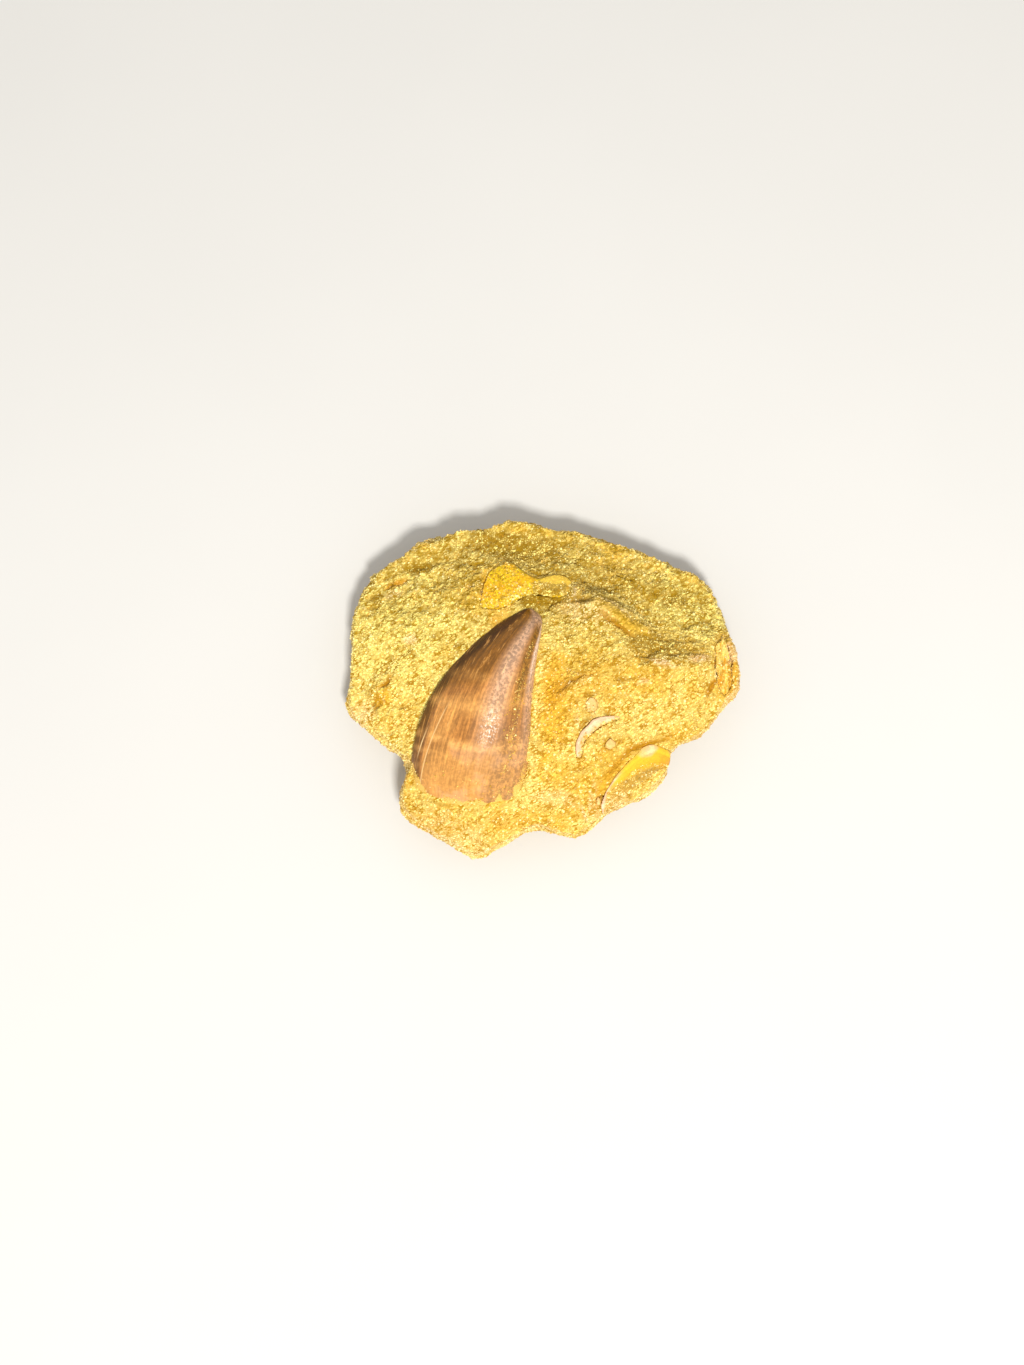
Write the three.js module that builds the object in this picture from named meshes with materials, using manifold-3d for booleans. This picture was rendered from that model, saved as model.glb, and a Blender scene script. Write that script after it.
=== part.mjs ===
// Fossil mosasaur tooth in a block of golden phosphatic sandstone.
//
// The block lies on its back on a small flat foot, with the tooth on top. The tooth is sunk to
// about half its thickness: its left flank stands clear of a low shelf, and its right side runs
// under the edge of a higher plateau. The same sandstone holds four smaller fossils: a waisted
// bone fragment beyond the tip, a bone splinter in the right edge, a leaning piece of shell on
// the lower right edge, and the rim of a small shell in the plateau.
//
// Millimetres, +Z up. +X runs across the block and +Y from the tooth's root towards its tip.
// The origin is under the middle of the block, on the surface that it rests on.

import * as THREE from "three";
import { mergeVertices } from "three/addons/utils/BufferGeometryUtils.js";
import Module from "manifold-3d";

// ---------------------------------------------------------------- driving dimensions

const SOCKET_GAP = 0.4; // clearance between each fossil and the hole it sits in
const MERGE_DISTANCE = 1e-4; // points closer than this are one point

// The block's widest outline, seen from above, clockwise from its highest corner.
const BLOCK_OUTLINE = [
  [-3.6, 33.4], [0.9, 32.2], [4.6, 31.2], [8.0, 30.8], [17.2, 28.0], [25.0, 25.4],
  [31.6, 21.6], [34.2, 18.0], [36.0, 11.6], [37.6, 6.2], [37.5, -0.4], [34.8, -2.9],
  [30.4, -9.0], [25.2, -11.4], [23.4, -16.8], [18.1, -21.2], [12.0, -24.1], [9.0, -26.9],
  [6.2, -28.2], [3.0, -27.6], [-1.8, -27.0], [-8.7, -30.7], [-12.2, -31.9], [-18.5, -28.8],
  [-23.4, -26.2], [-26.7, -22.9], [-26.3, -18.4], [-25.9, -14.4], [-30.5, -9.8],
  [-33.3, -7.1], [-36.0, -5.5], [-37.6, -2.8], [-36.5, 1.5], [-36.2, 5.8], [-36.6, 13.0],
  [-34.2, 19.6], [-29.6, 25.0], [-24.0, 28.6], [-18.6, 31.0], [-11.8, 32.0],
];
const BLOCK_MIDDLE = [-5, -3]; // the outline is seen whole from here, under the tooth
const BLOCK_COLUMNS = 97;
const BLOCK_RINGS = 22;

// The flat spot on the underside that the block rests on, an ellipse.
const FOOT = { middle: [-1.5, -1.5], radii: [20, 15.5] };

// The side of the block from its top edge down to the foot: how far each level has drawn in from
// the widest outline towards the foot, its height as a share of the top edge's, and how much of
// the side's roughness it shows.
const SIDE_LEVELS = [
  { drawnIn: 0.03, level: 1.0, rough: 0.7 },
  { drawnIn: 0.0, level: 0.86, rough: 1.0 },
  { drawnIn: 0.0, level: 0.69, rough: 0.4 },
  { drawnIn: 0.03, level: 0.5, rough: 1.0 },
  { drawnIn: 0.09, level: 0.36, rough: 1.0 },
  { drawnIn: 0.21, level: 0.23, rough: 1.0 },
  { drawnIn: 0.4, level: 0.12, rough: 0.8 },
  { drawnIn: 0.68, level: 0.05, rough: 0.4 },
  { drawnIn: 1.0, level: 0.0, rough: 0 },
];
const SIDE_ROUGHNESS = { size: 4.1, depth: 1.9, sway: 0.8 };

// Heights of the block's top at chosen spots [x, y, z]. The surface between them is smooth.
const SPOT_REACH = 2.4;
const FAR_SHARE = 1e-9; // what a spot counts for at any distance
const SPOT_HEIGHTS = {
  backRim: [
    [-36, 9, 10.8], [-33, 16, 11.6], [-28, 22, 11.6], [-22, 26, 12.6], [-14, 29, 12.4],
    [-4, 31, 13.2], [5, 29, 12.2], [13, 27, 12.6], [22, 24, 11.6], [29, 20, 11.8], [34, 14, 11.2],
  ],
  backSlope: [
    [-28, 17, 12.4], [-20, 22, 12.8], [-12, 26, 12.4], [-3, 27, 12.2], [6, 25, 12.6],
    [14, 22.5, 12.8], [22, 18, 13], [28, 14, 12.8], [-13, 22, 14.8], [-3, 23.6, 14.2],
    [2, 23.4, 14.6], [8, 21.6, 15], [16, 18.6, 15],
  ],
  leftShelf: [
    [-23, 17, 14.8], [-16, 17, 16.6], [-12, 13.6, 17], [-27, 10, 14], [-19, 9, 16.2],
    [-15, 11, 16.8], [-32, 6, 12], [-24, 2, 15], [-30, -1, 12.8], [-27, -6, 14],
    [-26, -11, 13.4], [-35, 0, 10.4], [-34, -4, 10], [-30, -8, 10.8],
  ],
  tipHollow: [[-3, 15.4, 16.4], [1.5, 15, 16.6], [-6.5, 14, 16.6]],
  boneSeat: [[-9.6, 17, 17.2], [-7, 20, 17], [-2, 18.6, 17.2], [4, 18.4, 17.8]],
  plateau: [
    [2.2, 12, 19.6], [1.6, 8, 20.4], [0.8, 4, 20.8], [-0.2, -3, 20.8], [-0.8, -11, 20.4],
    [-2, -17, 19.8], [9, 13, 20.2], [9, 6, 21], [8, -3, 21.2], [6, -12, 20.8],
    [3, -20, 19], [15, 5, 21.2], [16, -3, 21], [14, -10, 20.6], [9.6, -17, 19.4],
    [22, 1, 20.6], [22, -6, 20], [28, 0, 19.4], [32, 3, 18.4], [27, -5, 18],
  ],
  rightDip: [[20, 9.4, 17.4], [26, 8.6, 16.4], [31, 8, 16.2], [21, 13, 14.8], [14, 14.6, 18.6]],
  rightEdge: [[37, 6, 15.4], [37, 0, 15], [33.6, 4, 16.8], [33.6, 0, 16.2], [32, -6, 14]],
  shellSlope: [
    [24.6, -9.6, 17.2], [19, -11.4, 18.6], [14.2, -15.2, 18.6], [10.4, -20.4, 17.4],
    [21.8, -16.6, 13.4], [18.4, -19.6, 12.8], [14.4, -22.4, 12.6],
  ],
  toothRoot: [
    [-24.2, -17.4, 16.4], [-21.6, -20.6, 18.2], [-17.6, -22.6, 19.2], [-13.4, -23.2, 19.8],
    [-9, -23.4, 20], [-5, -22, 19.8], [-10, -26, 17.4], [-16, -25.8, 16.4],
  ],
  frontFoot: [
    [-25, -22, 12.6], [-20.6, -26.4, 12], [-14, -29, 12], [-12, -31.6, 8.8],
    [-7, -28.6, 12.2], [-3, -25.2, 16], [-3, -27.4, 11], [3, -24.4, 15], [3, -27.4, 9.6],
    [8, -25, 12.4], [8, -27, 9.2],
  ],
};

// Broken edges of the top. The ground to the left of each path, seen along it, stands higher by
// twice the rise, and the step dies away over the reach and towards both ends.
const SCARPS = [
  {
    path: [[34, 6], [29, 8.4], [22.5, 8.6], [19, 11.6], [14, 16.4], [9, 18.8], [5.8, 20.4]],
    rise: 1.4,
    reach: 4.5,
  },
  { path: [[2, 20.9], [-3.4, 21], [-6.6, 23.8], [-10.4, 23], [-12.4, 17]], rise: 0.8, reach: 4 },
  { path: [[-18, 25], [-25, 22], [-31, 15.6], [-33, 9]], rise: 0.5, reach: 3 },
  { path: [[25, -9.8], [19.4, -12.4], [14.8, -16.2], [11, -22]], rise: -0.7, reach: 2.4 },
  { path: [[31, -4], [26, -8.6], [22, -9.6]], rise: -0.7, reach: 3 },
  { path: [[-26, -9], [-30.6, -5.4], [-31.4, 1], [-28, 5.4]], rise: -0.5, reach: 3 },
  { path: [[-22, -23.4], [-14, -26.6], [-6, -26], [1, -24]], rise: 0.6, reach: 3 },
];
const SCARP_SHARPNESS = 0.7;

// Narrow ridges (rise above 0) and creases (rise below 0) that follow a path over the top.
const CREST_LINES = [
  { path: [[4, -2.6], [7, 1.2], [11, 2.9], [18, 3.2]], rise: 0.6, width: 1.0 },
  { path: [[8, -9.6], [11, -8.2], [14, -8.6]], rise: -0.8, width: 1.3 },
  { path: [[24, 4.8], [28.6, 3.6], [31.6, 6]], rise: 0.8, width: 1.4 },
  { path: [[17.4, 6], [23, 5.6], [27, 6.2]], rise: -0.9, width: 1.1 },
  { path: [[2, 16.6], [-2.6, 16], [-7.6, 13]], rise: -0.7, width: 1.0 },
];

// The coarse, broken surface that lies over the top, and the even edge of the rock along the
// tooth, where it fades away.
const LUMPS = [
  { size: 6.5, rise: 0.7 },
  { size: 3.1, rise: 0.65 },
];
const TOOTH_BORDER = { path: [[0, 13], [-1, 3], [-2, -8], [-4, -19], [-13, -22.6]], width: 1.8 };

// The tooth from its buried root end to its tip. Each station has the left and right edges
// [x, y, z] and how far the crown rises above and reaches below the line between them.
const TOOTH_STATIONS = [
  { left: [-22.0, -22.8, 11.6], right: [-5.6, -25.4, 13.4], rise: 4.2, depth: 4.4 },
  { left: [-24.2, -17.6, 13.2], right: [-3.4, -20.6, 15.6], rise: 6.3, depth: 6.0 },
  { left: [-23.6, -9.8, 14.0], right: [-2.0, -12.2, 17.0], rise: 7.4, depth: 6.6 },
  { left: [-20.9, -2.5, 14.6], right: [-1.8, -3.0, 17.8], rise: 7.3, depth: 6.4 },
  { left: [-16.4, 4.2, 15.2], right: [-1.2, 4.2, 18.2], rise: 6.3, depth: 5.8 },
  { left: [-11.0, 9.4, 15.8], right: [-0.5, 9.0, 18.2], rise: 4.5, depth: 4.4 },
  { left: [-6.4, 12.6, 16.4], right: [-0.4, 12.2, 17.6], rise: 2.5, depth: 2.4 },
  { left: [-3.4, 14.2, 16.8], right: [-1.9, 14.2, 17.0], rise: 0.6, depth: 0.6 },
];
const TOOTH_RINGS = 24;
const TOOTH_SIDES = 30;
const TIP_CROWDING = 1.35; // rings lie closer together towards the tip
const ROOT_DOME = 0.6; // bulge of the closed root end
const TIP_DOME = 0.3;

// Lengthways facets of the crown's exposed face, across its half width (-1 left, 1 right).
const TOOTH_FACETS = [
  { at: 0.26, width: 0.13, rise: 0.06 },
  { at: 0.62, width: 0.12, rise: -0.07 },
  { at: 0.88, width: 0.09, rise: 0.07 },
  { at: -0.45, width: 0.16, rise: 0.025 },
];

// The flat bone fragments: outline in plan, a middle from which the outline is seen whole,
// height and slope [per mm of x, of y] of the top, how far it is crowned, and depth.
const BONE_FRAGMENT = {
  outline: [
    [-7.3, 23.5], [-5, 22.5], [-3.2, 20.7], [-0.4, 20.0], [1.9, 20.8], [4.4, 20.8],
    [5.8, 19.2], [5.4, 16.8], [2.6, 16.3], [-0.6, 17.2], [-3, 17.2], [-5.6, 15.6],
    [-8.4, 14.4], [-11.2, 14.6], [-11.9, 17.6], [-11.4, 21.4], [-9.8, 23.3],
  ],
  middle: [-2.4, 18.7],
  top: 18.0,
  slope: [0.03, 0.0],
  crown: 0.7,
  depth: 3.4,
};

const BONE_SPLINTER = {
  outline: [
    [33.8, 9.2], [35.0, 7.0], [35.5, 3.2], [35.2, -0.4], [33.6, -2.0], [32.2, 0.4],
    [31.8, 4.4], [32.6, 8.0],
  ],
  middle: [33.7, 3.6],
  top: 17.1,
  slope: [-0.4, 0.02],
  crown: 0.5,
  depth: 4.4,
};

// The shells: the middle line of each blade, half its thickness and half its breadth, and how
// far it leans from upright.
const SHELL_PLATE = {
  path: [
    [10.9, -23.4, 14.6], [13.2, -20.2, 15.9], [16.4, -17.2, 16.3], [20.2, -14.8, 16.0],
    [23.6, -13.6, 14.9],
  ],
  halfWidth: 0.65,
  halfHeight: 2.3,
  lean: 50,
};

const SHELL_RIM = {
  path: [
    [6.5, -13.4, 19.9], [6.7, -10.2, 20.3], [8.0, -7.9, 20.5], [10.4, -6.7, 20.6],
    [13.9, -6.9, 20.3],
  ],
  halfWidth: 0.5,
  halfHeight: 1.1,
  lean: 0,
};

// Levels of a flat fragment, from its top down: size as a share of the outline, and how far the
// level drops, in crowns and in depths.
const FRAGMENT_LEVELS = [
  { share: 0.45, crowns: 0.2, depths: 0 },
  { share: 0.8, crowns: 0.5, depths: 0 },
  { share: 1.0, crowns: 1.0, depths: 0 },
  { share: 0.96, crowns: 0, depths: 0.6 },
  { share: 0.7, crowns: 0, depths: 1.0 },
];
const FRAGMENT_SIDES = 36;
const BLADE_SIDES = 8;
const BLADE_RINGS = 14;

const COLOURS = {
  sandstone: { color: 0xe9c765, roughness: 0.95 },
  tooth: { color: 0xb87a3c, roughness: 0.3 },
  bone: { color: 0xedb734, roughness: 0.7 },
  shell: { color: 0xf1dc9c, roughness: 0.6 },
};

// ---------------------------------------------------------------- helpers

const wasm = await Module();
wasm.setup();

const smoothstep = (t) => t * t * (3 - 2 * t);

// A repeatable number from -1 to 1 for each whole-number pair: the digits of a large sine.
function latticeValue(i, j) {
  const wave = Math.sin(i * 127.1 + j * 311.7) * 43758.5453;
  return 2 * (wave - Math.floor(wave)) - 1;
}

// Smooth noise from -1 to 1 with bumps about one unit apart.
function smoothNoise(x, y) {
  const i = Math.floor(x);
  const j = Math.floor(y);
  const u = smoothstep(x - i);
  const v = smoothstep(y - j);
  const near = latticeValue(i, j) * (1 - u) + latticeValue(i + 1, j) * u;
  const far = latticeValue(i, j + 1) * (1 - u) + latticeValue(i + 1, j + 1) * u;
  return near * (1 - v) + far * v;
}

function lumpiness(x, y) {
  return LUMPS.reduce((sum, { size, rise }) => sum + rise * smoothNoise(x / size, y / size), 0);
}

// Where a point lies by a path of straight stretches in plan: its distance, how far along the
// path from 0 to 1, and its side, 1 on the left and -1 on the right.
function placeByPath(x, y, path) {
  let nearest = { distance: Infinity };
  for (let i = 1; i < path.length; i++) {
    const [ax, ay] = path[i - 1];
    const [bx, by] = path[i];
    const [dx, dy] = [bx - ax, by - ay];
    const share = ((x - ax) * dx + (y - ay) * dy) / (dx * dx + dy * dy);
    const t = Math.min(1, Math.max(0, share));
    const distance = Math.hypot(x - ax - t * dx, y - ay - t * dy);
    if (distance < nearest.distance) {
      const side = Math.sign(dx * (y - ay) - dy * (x - ax));
      nearest = { distance, side, along: (i - 1 + t) / (path.length - 1) };
    }
  }
  return nearest;
}

const bell = (distance, width) => Math.exp(-0.5 * (distance / width) ** 2);

// A closed mesh from rings of equal length, listed from the top down, each anticlockwise seen
// from the first end, with one point that closes each end.
function closedLoft(firstPoint, rings, lastPoint) {
  const sides = rings[0].length;
  const points = [firstPoint, ...rings.flat(), lastPoint];
  const last = points.length - 1;
  const at = (ring, side) => 1 + ring * sides + (side % sides);
  const faces = [];
  for (let s = 0; s < sides; s++) {
    faces.push(0, at(0, s), at(0, s + 1));
    faces.push(last, at(rings.length - 1, s + 1), at(rings.length - 1, s));
    for (let r = 1; r < rings.length; r++) {
      faces.push(at(r - 1, s), at(r, s), at(r, s + 1));
      faces.push(at(r - 1, s), at(r, s + 1), at(r - 1, s + 1));
    }
  }
  const geometry = new THREE.BufferGeometry();
  geometry.setAttribute("position", new THREE.Float32BufferAttribute(points.flat(), 3));
  geometry.setIndex(faces);
  return geometry;
}

function toSolid(geometry) {
  const merged = mergeVertices(geometry, MERGE_DISTANCE);
  const mesh = new wasm.Mesh({
    numProp: 3,
    vertProperties: merged.attributes.position.array,
    triVerts: new Uint32Array(merged.index.array),
  });
  return new wasm.Manifold(mesh);
}

function toGeometry(solid) {
  const mesh = solid.getMesh();
  const geometry = new THREE.BufferGeometry();
  geometry.setAttribute("position", new THREE.BufferAttribute(mesh.vertProperties, 3));
  geometry.setIndex(new THREE.BufferAttribute(mesh.triVerts, 1));
  return geometry;
}

// The same closed mesh with each point moved outwards along its normal.
function swollen(geometry, distance) {
  const grown = mergeVertices(geometry, MERGE_DISTANCE);
  grown.computeVertexNormals();
  const { position, normal } = grown.attributes;
  const point = new THREE.Vector3();
  const way = new THREE.Vector3();
  for (let i = 0; i < position.count; i++) {
    point.fromBufferAttribute(position, i);
    way.fromBufferAttribute(normal, i);
    point.addScaledVector(way, distance);
    position.setXYZ(i, point.x, point.y, point.z);
  }
  grown.deleteAttribute("normal");
  return grown;
}

// Evenly spaced points [x, y] on the smooth closed curve through an outline, anticlockwise.
function smoothOutline(outline, count) {
  const curve = new THREE.CatmullRomCurve3(
    outline.map(([x, y]) => new THREE.Vector3(x, y, 0)),
    true,
    "centripetal",
  );
  const points = curve.getSpacedPoints(count).slice(0, count);
  return points.reverse().map((p) => [p.x, p.y]);
}

// ---------------------------------------------------------------- the block

function scarpHeight(x, y, { path, rise, reach }) {
  const { distance, side, along } = placeByPath(x, y, path);
  const step = Math.tanh((side * distance) / SCARP_SHARPNESS);
  return rise * step * bell(distance, reach) * Math.sin(Math.PI * along);
}

function crestHeight(x, y, { path, rise, width }) {
  return rise * bell(placeByPath(x, y, path).distance, width);
}

function topHeight(x, y) {
  let weight = 0;
  let sum = 0;
  for (const [sx, sy, sz] of Object.values(SPOT_HEIGHTS).flat()) {
    const share = bell(Math.hypot(x - sx, y - sy), SPOT_REACH) + FAR_SHARE;
    weight += share;
    sum += share * sz;
  }
  const scarps = SCARPS.reduce((total, scarp) => total + scarpHeight(x, y, scarp), 0);
  const crests = CREST_LINES.reduce((total, crest) => total + crestHeight(x, y, crest), 0);
  const border = placeByPath(x, y, TOOTH_BORDER.path).distance;
  const calm = 1 - 0.8 * bell(border, TOOTH_BORDER.width);
  return sum / weight + scarps + crests + calm * lumpiness(x, y);
}

// The point of the foot's ellipse that faces a point of the outline.
function footPoint([rimX, rimY]) {
  const [mx, my] = FOOT.middle;
  const angle = Math.atan2(rimY - my, rimX - mx);
  return [mx + FOOT.radii[0] * Math.cos(angle), my + FOOT.radii[1] * Math.sin(angle)];
}

// One column of the block at a point of its outline: rings of the top, then the side levels.
function blockColumn(rim) {
  const foot = footPoint(rim);
  const between = (a, b, t) => [a[0] + (b[0] - a[0]) * t, a[1] + (b[1] - a[1]) * t];
  const topEdge = between(rim, foot, SIDE_LEVELS[0].drawnIn);
  const edgeHeight = topHeight(...topEdge);
  const column = [];
  for (let ring = 1; ring < BLOCK_RINGS; ring++) {
    const [x, y] = between(BLOCK_MIDDLE, topEdge, ring / BLOCK_RINGS);
    column.push([x, y, topHeight(x, y)]);
  }
  const { size, depth, sway } = SIDE_ROUGHNESS;
  const reach = Math.hypot(rim[0] - foot[0], rim[1] - foot[1]);
  for (const { drawnIn, level, rough } of SIDE_LEVELS) {
    const z = edgeHeight * level;
    const hollow = 0.5 + 0.5 * smoothNoise((rim[0] + z) / size, (rim[1] - z) / size);
    const shift = smoothNoise((rim[0] - 2 * z) / size, (rim[1] + z) / size);
    const [x, y] = between(rim, foot, drawnIn + (rough * depth * hollow) / reach);
    column.push([x, y, level === 1 ? z : z + rough * sway * shift]);
  }
  return column;
}

function blockGeometry() {
  const [mx, my] = BLOCK_MIDDLE;
  const columns = smoothOutline(BLOCK_OUTLINE, BLOCK_COLUMNS).map(blockColumn);
  const rings = columns[0].map((_, ring) => columns.map((column) => column[ring]));
  return closedLoft([mx, my, topHeight(mx, my)], rings, [mx, my, 0]);
}

// ---------------------------------------------------------------- the tooth

function facetHeight(across) {
  return TOOTH_FACETS.reduce((sum, { at, width, rise }) => sum + rise * bell(across - at, width), 0);
}

// A smooth curve through one value [x, y, z] of every station.
function stationCurve(valueOf) {
  const points = TOOTH_STATIONS.map((station) => new THREE.Vector3(...valueOf(station)));
  return new THREE.CatmullRomCurve3(points, false, "catmullrom");
}

// The crown as a loft of closed rings, from the root end to the tip.
function toothGeometry() {
  const left = stationCurve((station) => station.left);
  const right = stationCurve((station) => station.right);
  const girth = stationCurve((station) => [station.rise, station.depth, 0]);
  const middleAt = (t) => left.getPoint(t).add(right.getPoint(t)).multiplyScalar(0.5);

  const ringAt = (t) => {
    const middle = middleAt(t);
    const half = right.getPoint(t).sub(middle);
    const { x: rise, y: depth } = girth.getPoint(t);
    return Array.from({ length: TOOTH_SIDES }, (_, side) => {
      const angle = (2 * Math.PI * side) / TOOTH_SIDES;
      const across = Math.cos(angle);
      const up = Math.sin(angle);
      const height = up > 0 ? rise * (1 + facetHeight(across)) : depth;
      const point = middle.clone().addScaledVector(half, across);
      return [point.x, point.y, point.z + up * height];
    });
  };

  const rings = [];
  for (let r = 0; r <= TOOTH_RINGS; r++) {
    rings.push(ringAt(1 - (1 - r / TOOTH_RINGS) ** TIP_CROWDING));
  }
  const nearEnd = 0.05;
  const rootWay = middleAt(0).sub(middleAt(nearEnd)).normalize();
  const tipWay = middleAt(1).sub(middleAt(1 - nearEnd)).normalize();
  const rootEnd = middleAt(0).addScaledVector(rootWay, ROOT_DOME);
  const tipEnd = middleAt(1).addScaledVector(tipWay, TIP_DOME);
  return closedLoft(rootEnd.toArray(), rings, tipEnd.toArray());
}

// ---------------------------------------------------------------- the small fossils

// A flat fragment with a crowned top and a tapered underside, from its outline in plan.
function fragmentGeometry({ outline, middle, top, slope, crown, depth }) {
  const [mx, my] = middle;
  const rings = FRAGMENT_LEVELS.map(({ share, crowns, depths }) => {
    const z = top - crowns * crown - depths * depth;
    return smoothOutline(outline, FRAGMENT_SIDES).map(([x, y]) => {
      const dx = (x - mx) * share;
      const dy = (y - my) * share;
      return [mx + dx, my + dy, z + slope[0] * dx + slope[1] * dy];
    });
  });
  return closedLoft([mx, my, top], rings, [mx, my, top - depth]);
}

// A thin curved blade along a path, fullest in the middle and pointed at both ends. Its top
// edge leans over to the left of the path, seen along it.
function bladeGeometry({ path, halfWidth, halfHeight, lean }) {
  const curve = new THREE.CatmullRomCurve3(path.map((point) => new THREE.Vector3(...point)));
  const up = new THREE.Vector3(0, 0, 1);
  const rings = [];
  for (let r = 1; r < BLADE_RINGS; r++) {
    const t = r / BLADE_RINGS;
    const along = curve.getTangent(t);
    const thin = new THREE.Vector3().crossVectors(along, up).normalize();
    const broad = new THREE.Vector3().crossVectors(thin, along).normalize();
    const tilt = -THREE.MathUtils.degToRad(lean);
    thin.applyAxisAngle(along, tilt);
    broad.applyAxisAngle(along, tilt);
    const fullness = Math.sqrt(Math.sin(Math.PI * t));
    const ring = Array.from({ length: BLADE_SIDES }, (_, side) => {
      const angle = (2 * Math.PI * side) / BLADE_SIDES;
      const point = curve.getPoint(t);
      point.addScaledVector(thin, Math.cos(angle) * halfWidth * fullness);
      point.addScaledVector(broad, Math.sin(angle) * halfHeight * fullness);
      return point.toArray();
    });
    rings.push(ring);
  }
  return closedLoft(path.at(0), rings, path.at(-1));
}

// ---------------------------------------------------------------- assembly

const fossils = [
  { name: "tooth", look: "tooth", geometry: toothGeometry() },
  { name: "bone_fragment", look: "bone", geometry: fragmentGeometry(BONE_FRAGMENT) },
  { name: "bone_splinter", look: "bone", geometry: fragmentGeometry(BONE_SPLINTER) },
  { name: "shell_plate", look: "shell", geometry: bladeGeometry(SHELL_PLATE) },
  { name: "shell_rim", look: "shell", geometry: bladeGeometry(SHELL_RIM) },
];

function namedMesh(name, look, geometry) {
  const material = new THREE.MeshStandardMaterial({ ...COLOURS[look], metalness: 0 });
  const mesh = new THREE.Mesh(geometry, material);
  mesh.name = name;
  return mesh;
}

const block = fossils.reduce(
  (solid, { geometry }) => solid.subtract(toSolid(swollen(geometry, SOCKET_GAP))),
  toSolid(blockGeometry()),
);

const part = new THREE.Group();
part.add(namedMesh("matrix_block", "sandstone", toGeometry(block)));
for (const { name, look, geometry } of fossils) {
  part.add(namedMesh(name, look, geometry));
}

const bounds = new THREE.Box3().setFromObject(part, true);
const middle = bounds.getCenter(new THREE.Vector3());
part.position.set(-middle.x, -middle.y, -bounds.min.z);

export default part;
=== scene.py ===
"""Fossil mosasaur tooth in a block of golden sandstone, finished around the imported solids.

The solids give every place and size. This file adds what they leave out: the broken, grainy
surface of the sandstone, the polished and banded enamel of the crown, the pitted bone and the
chalky shell, and a plain studio to show them in.
"""

import math

import bmesh
import bpy
import numpy as np
from bpy.props import FloatProperty, FloatVectorProperty, IntProperty, PointerProperty
from mathutils import Matrix, Vector
from mathutils.bvhtree import BVHTree
from mathutils.kdtree import KDTree


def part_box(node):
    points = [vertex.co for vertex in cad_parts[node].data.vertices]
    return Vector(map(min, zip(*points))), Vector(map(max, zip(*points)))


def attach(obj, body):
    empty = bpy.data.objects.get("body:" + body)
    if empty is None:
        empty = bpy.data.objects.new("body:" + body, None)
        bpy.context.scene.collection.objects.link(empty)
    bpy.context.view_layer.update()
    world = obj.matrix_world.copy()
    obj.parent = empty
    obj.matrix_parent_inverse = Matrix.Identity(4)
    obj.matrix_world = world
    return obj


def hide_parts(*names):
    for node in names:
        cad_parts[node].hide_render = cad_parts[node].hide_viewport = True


bl_info = {
    "name": "Fossil mosasaur tooth",
    "version": (1, 0, 0),
    "blender": (4, 5, 0),
    "location": "View3D > Sidebar > Fossil",
    "description": "Builds a mosasaur tooth half sunk in a block of golden sandstone",
    "category": "Add Mesh",
}

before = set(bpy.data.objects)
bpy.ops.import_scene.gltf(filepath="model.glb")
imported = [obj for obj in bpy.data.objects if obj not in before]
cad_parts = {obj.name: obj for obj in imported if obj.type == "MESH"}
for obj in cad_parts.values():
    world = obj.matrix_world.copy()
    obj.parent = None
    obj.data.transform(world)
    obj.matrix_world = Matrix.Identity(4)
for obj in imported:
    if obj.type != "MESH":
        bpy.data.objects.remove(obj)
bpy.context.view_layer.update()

MM = 0.001
LONGEST = 100 * MM  # the most that a length can be set to


# ---------------------------------------------------------------- the crown's own numbers

# The crown from its buried root end to its tip, in millimetres in the part's own source: the
# left and right edges, and how far it rises above and reaches below the line between them.
CROWN_LEFT = [
    (-22.0, -22.8, 11.6), (-24.2, -17.6, 13.2), (-23.6, -9.8, 14.0), (-20.9, -2.5, 14.6),
    (-16.4, 4.2, 15.2), (-11.0, 9.4, 15.8), (-6.4, 12.6, 16.4), (-3.4, 14.2, 16.8),
]
CROWN_RIGHT = [
    (-5.6, -25.4, 13.4), (-3.4, -20.6, 15.6), (-1.8, -12.2, 17.0), (-1.5, -3.0, 17.8),
    (-0.8, 4.2, 18.2), (-0.1, 9.0, 18.2), (-0.1, 12.2, 17.6), (-1.7, 14.2, 17.0),
]
CROWN_GIRTH = [
    (4.2, 4.4), (6.3, 6.0), (7.4, 6.6), (7.3, 6.4), (6.3, 5.8), (4.5, 4.4), (2.5, 2.4), (0.6, 0.6),
]
# Lengthways ridges and grooves (-1 the left edge, 1 the right): place, width, and rise as a
# share of the crown's.
RIDGE, GROOVE, STRIP = 0.13, 0.57, 0.82
CROWN_FACETS = [
    (RIDGE, 0.2, 0.02), (GROOVE, 0.09, -0.07), (STRIP, 0.07, 0.05), (-0.45, 0.16, 0.02),
    (-0.75, 0.1, 0.015),
]
# The crown's highest line leans to the right by this many half widths for each crown's length
# above the place where it starts to lean.
CROWN_SKEW, SKEW_START = 0.66, 0.13
CROWN_RADIUS = 9.5
TIP_CROWDING = 1.35
ROOT_DOME = 0.6
TIP_DOME = 0.3


# ---------------------------------------------------------------- small helpers


def tint(code):
    """A scene-linear colour from a hexadecimal screen colour."""
    parts = [(code >> shift & 255) / 255 for shift in (16, 8, 0)]
    return tuple(c / 12.92 if c <= 0.04045 else ((c + 0.055) / 1.055) ** 2.4 for c in parts)


def number(name, description, default, **more):
    return FloatProperty(name=name, description=description, default=default, **more)


def length(name, description, millimetres):
    return number(
        name, description, millimetres * MM,
        min=0.0, max=LONGEST, unit="LENGTH", subtype="DISTANCE", precision=5,
    )


def colour(name, description, code):
    return FloatVectorProperty(
        name=name, description=description, default=tint(code), size=3, min=0.0, max=1.0,
        subtype="COLOR",
    )


def opaque(rgb):
    return (*rgb, 1.0)


def smooth(t):
    t = np.clip(t, 0.0, 1.0)
    return t * t * (3 - 2 * t)


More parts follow.
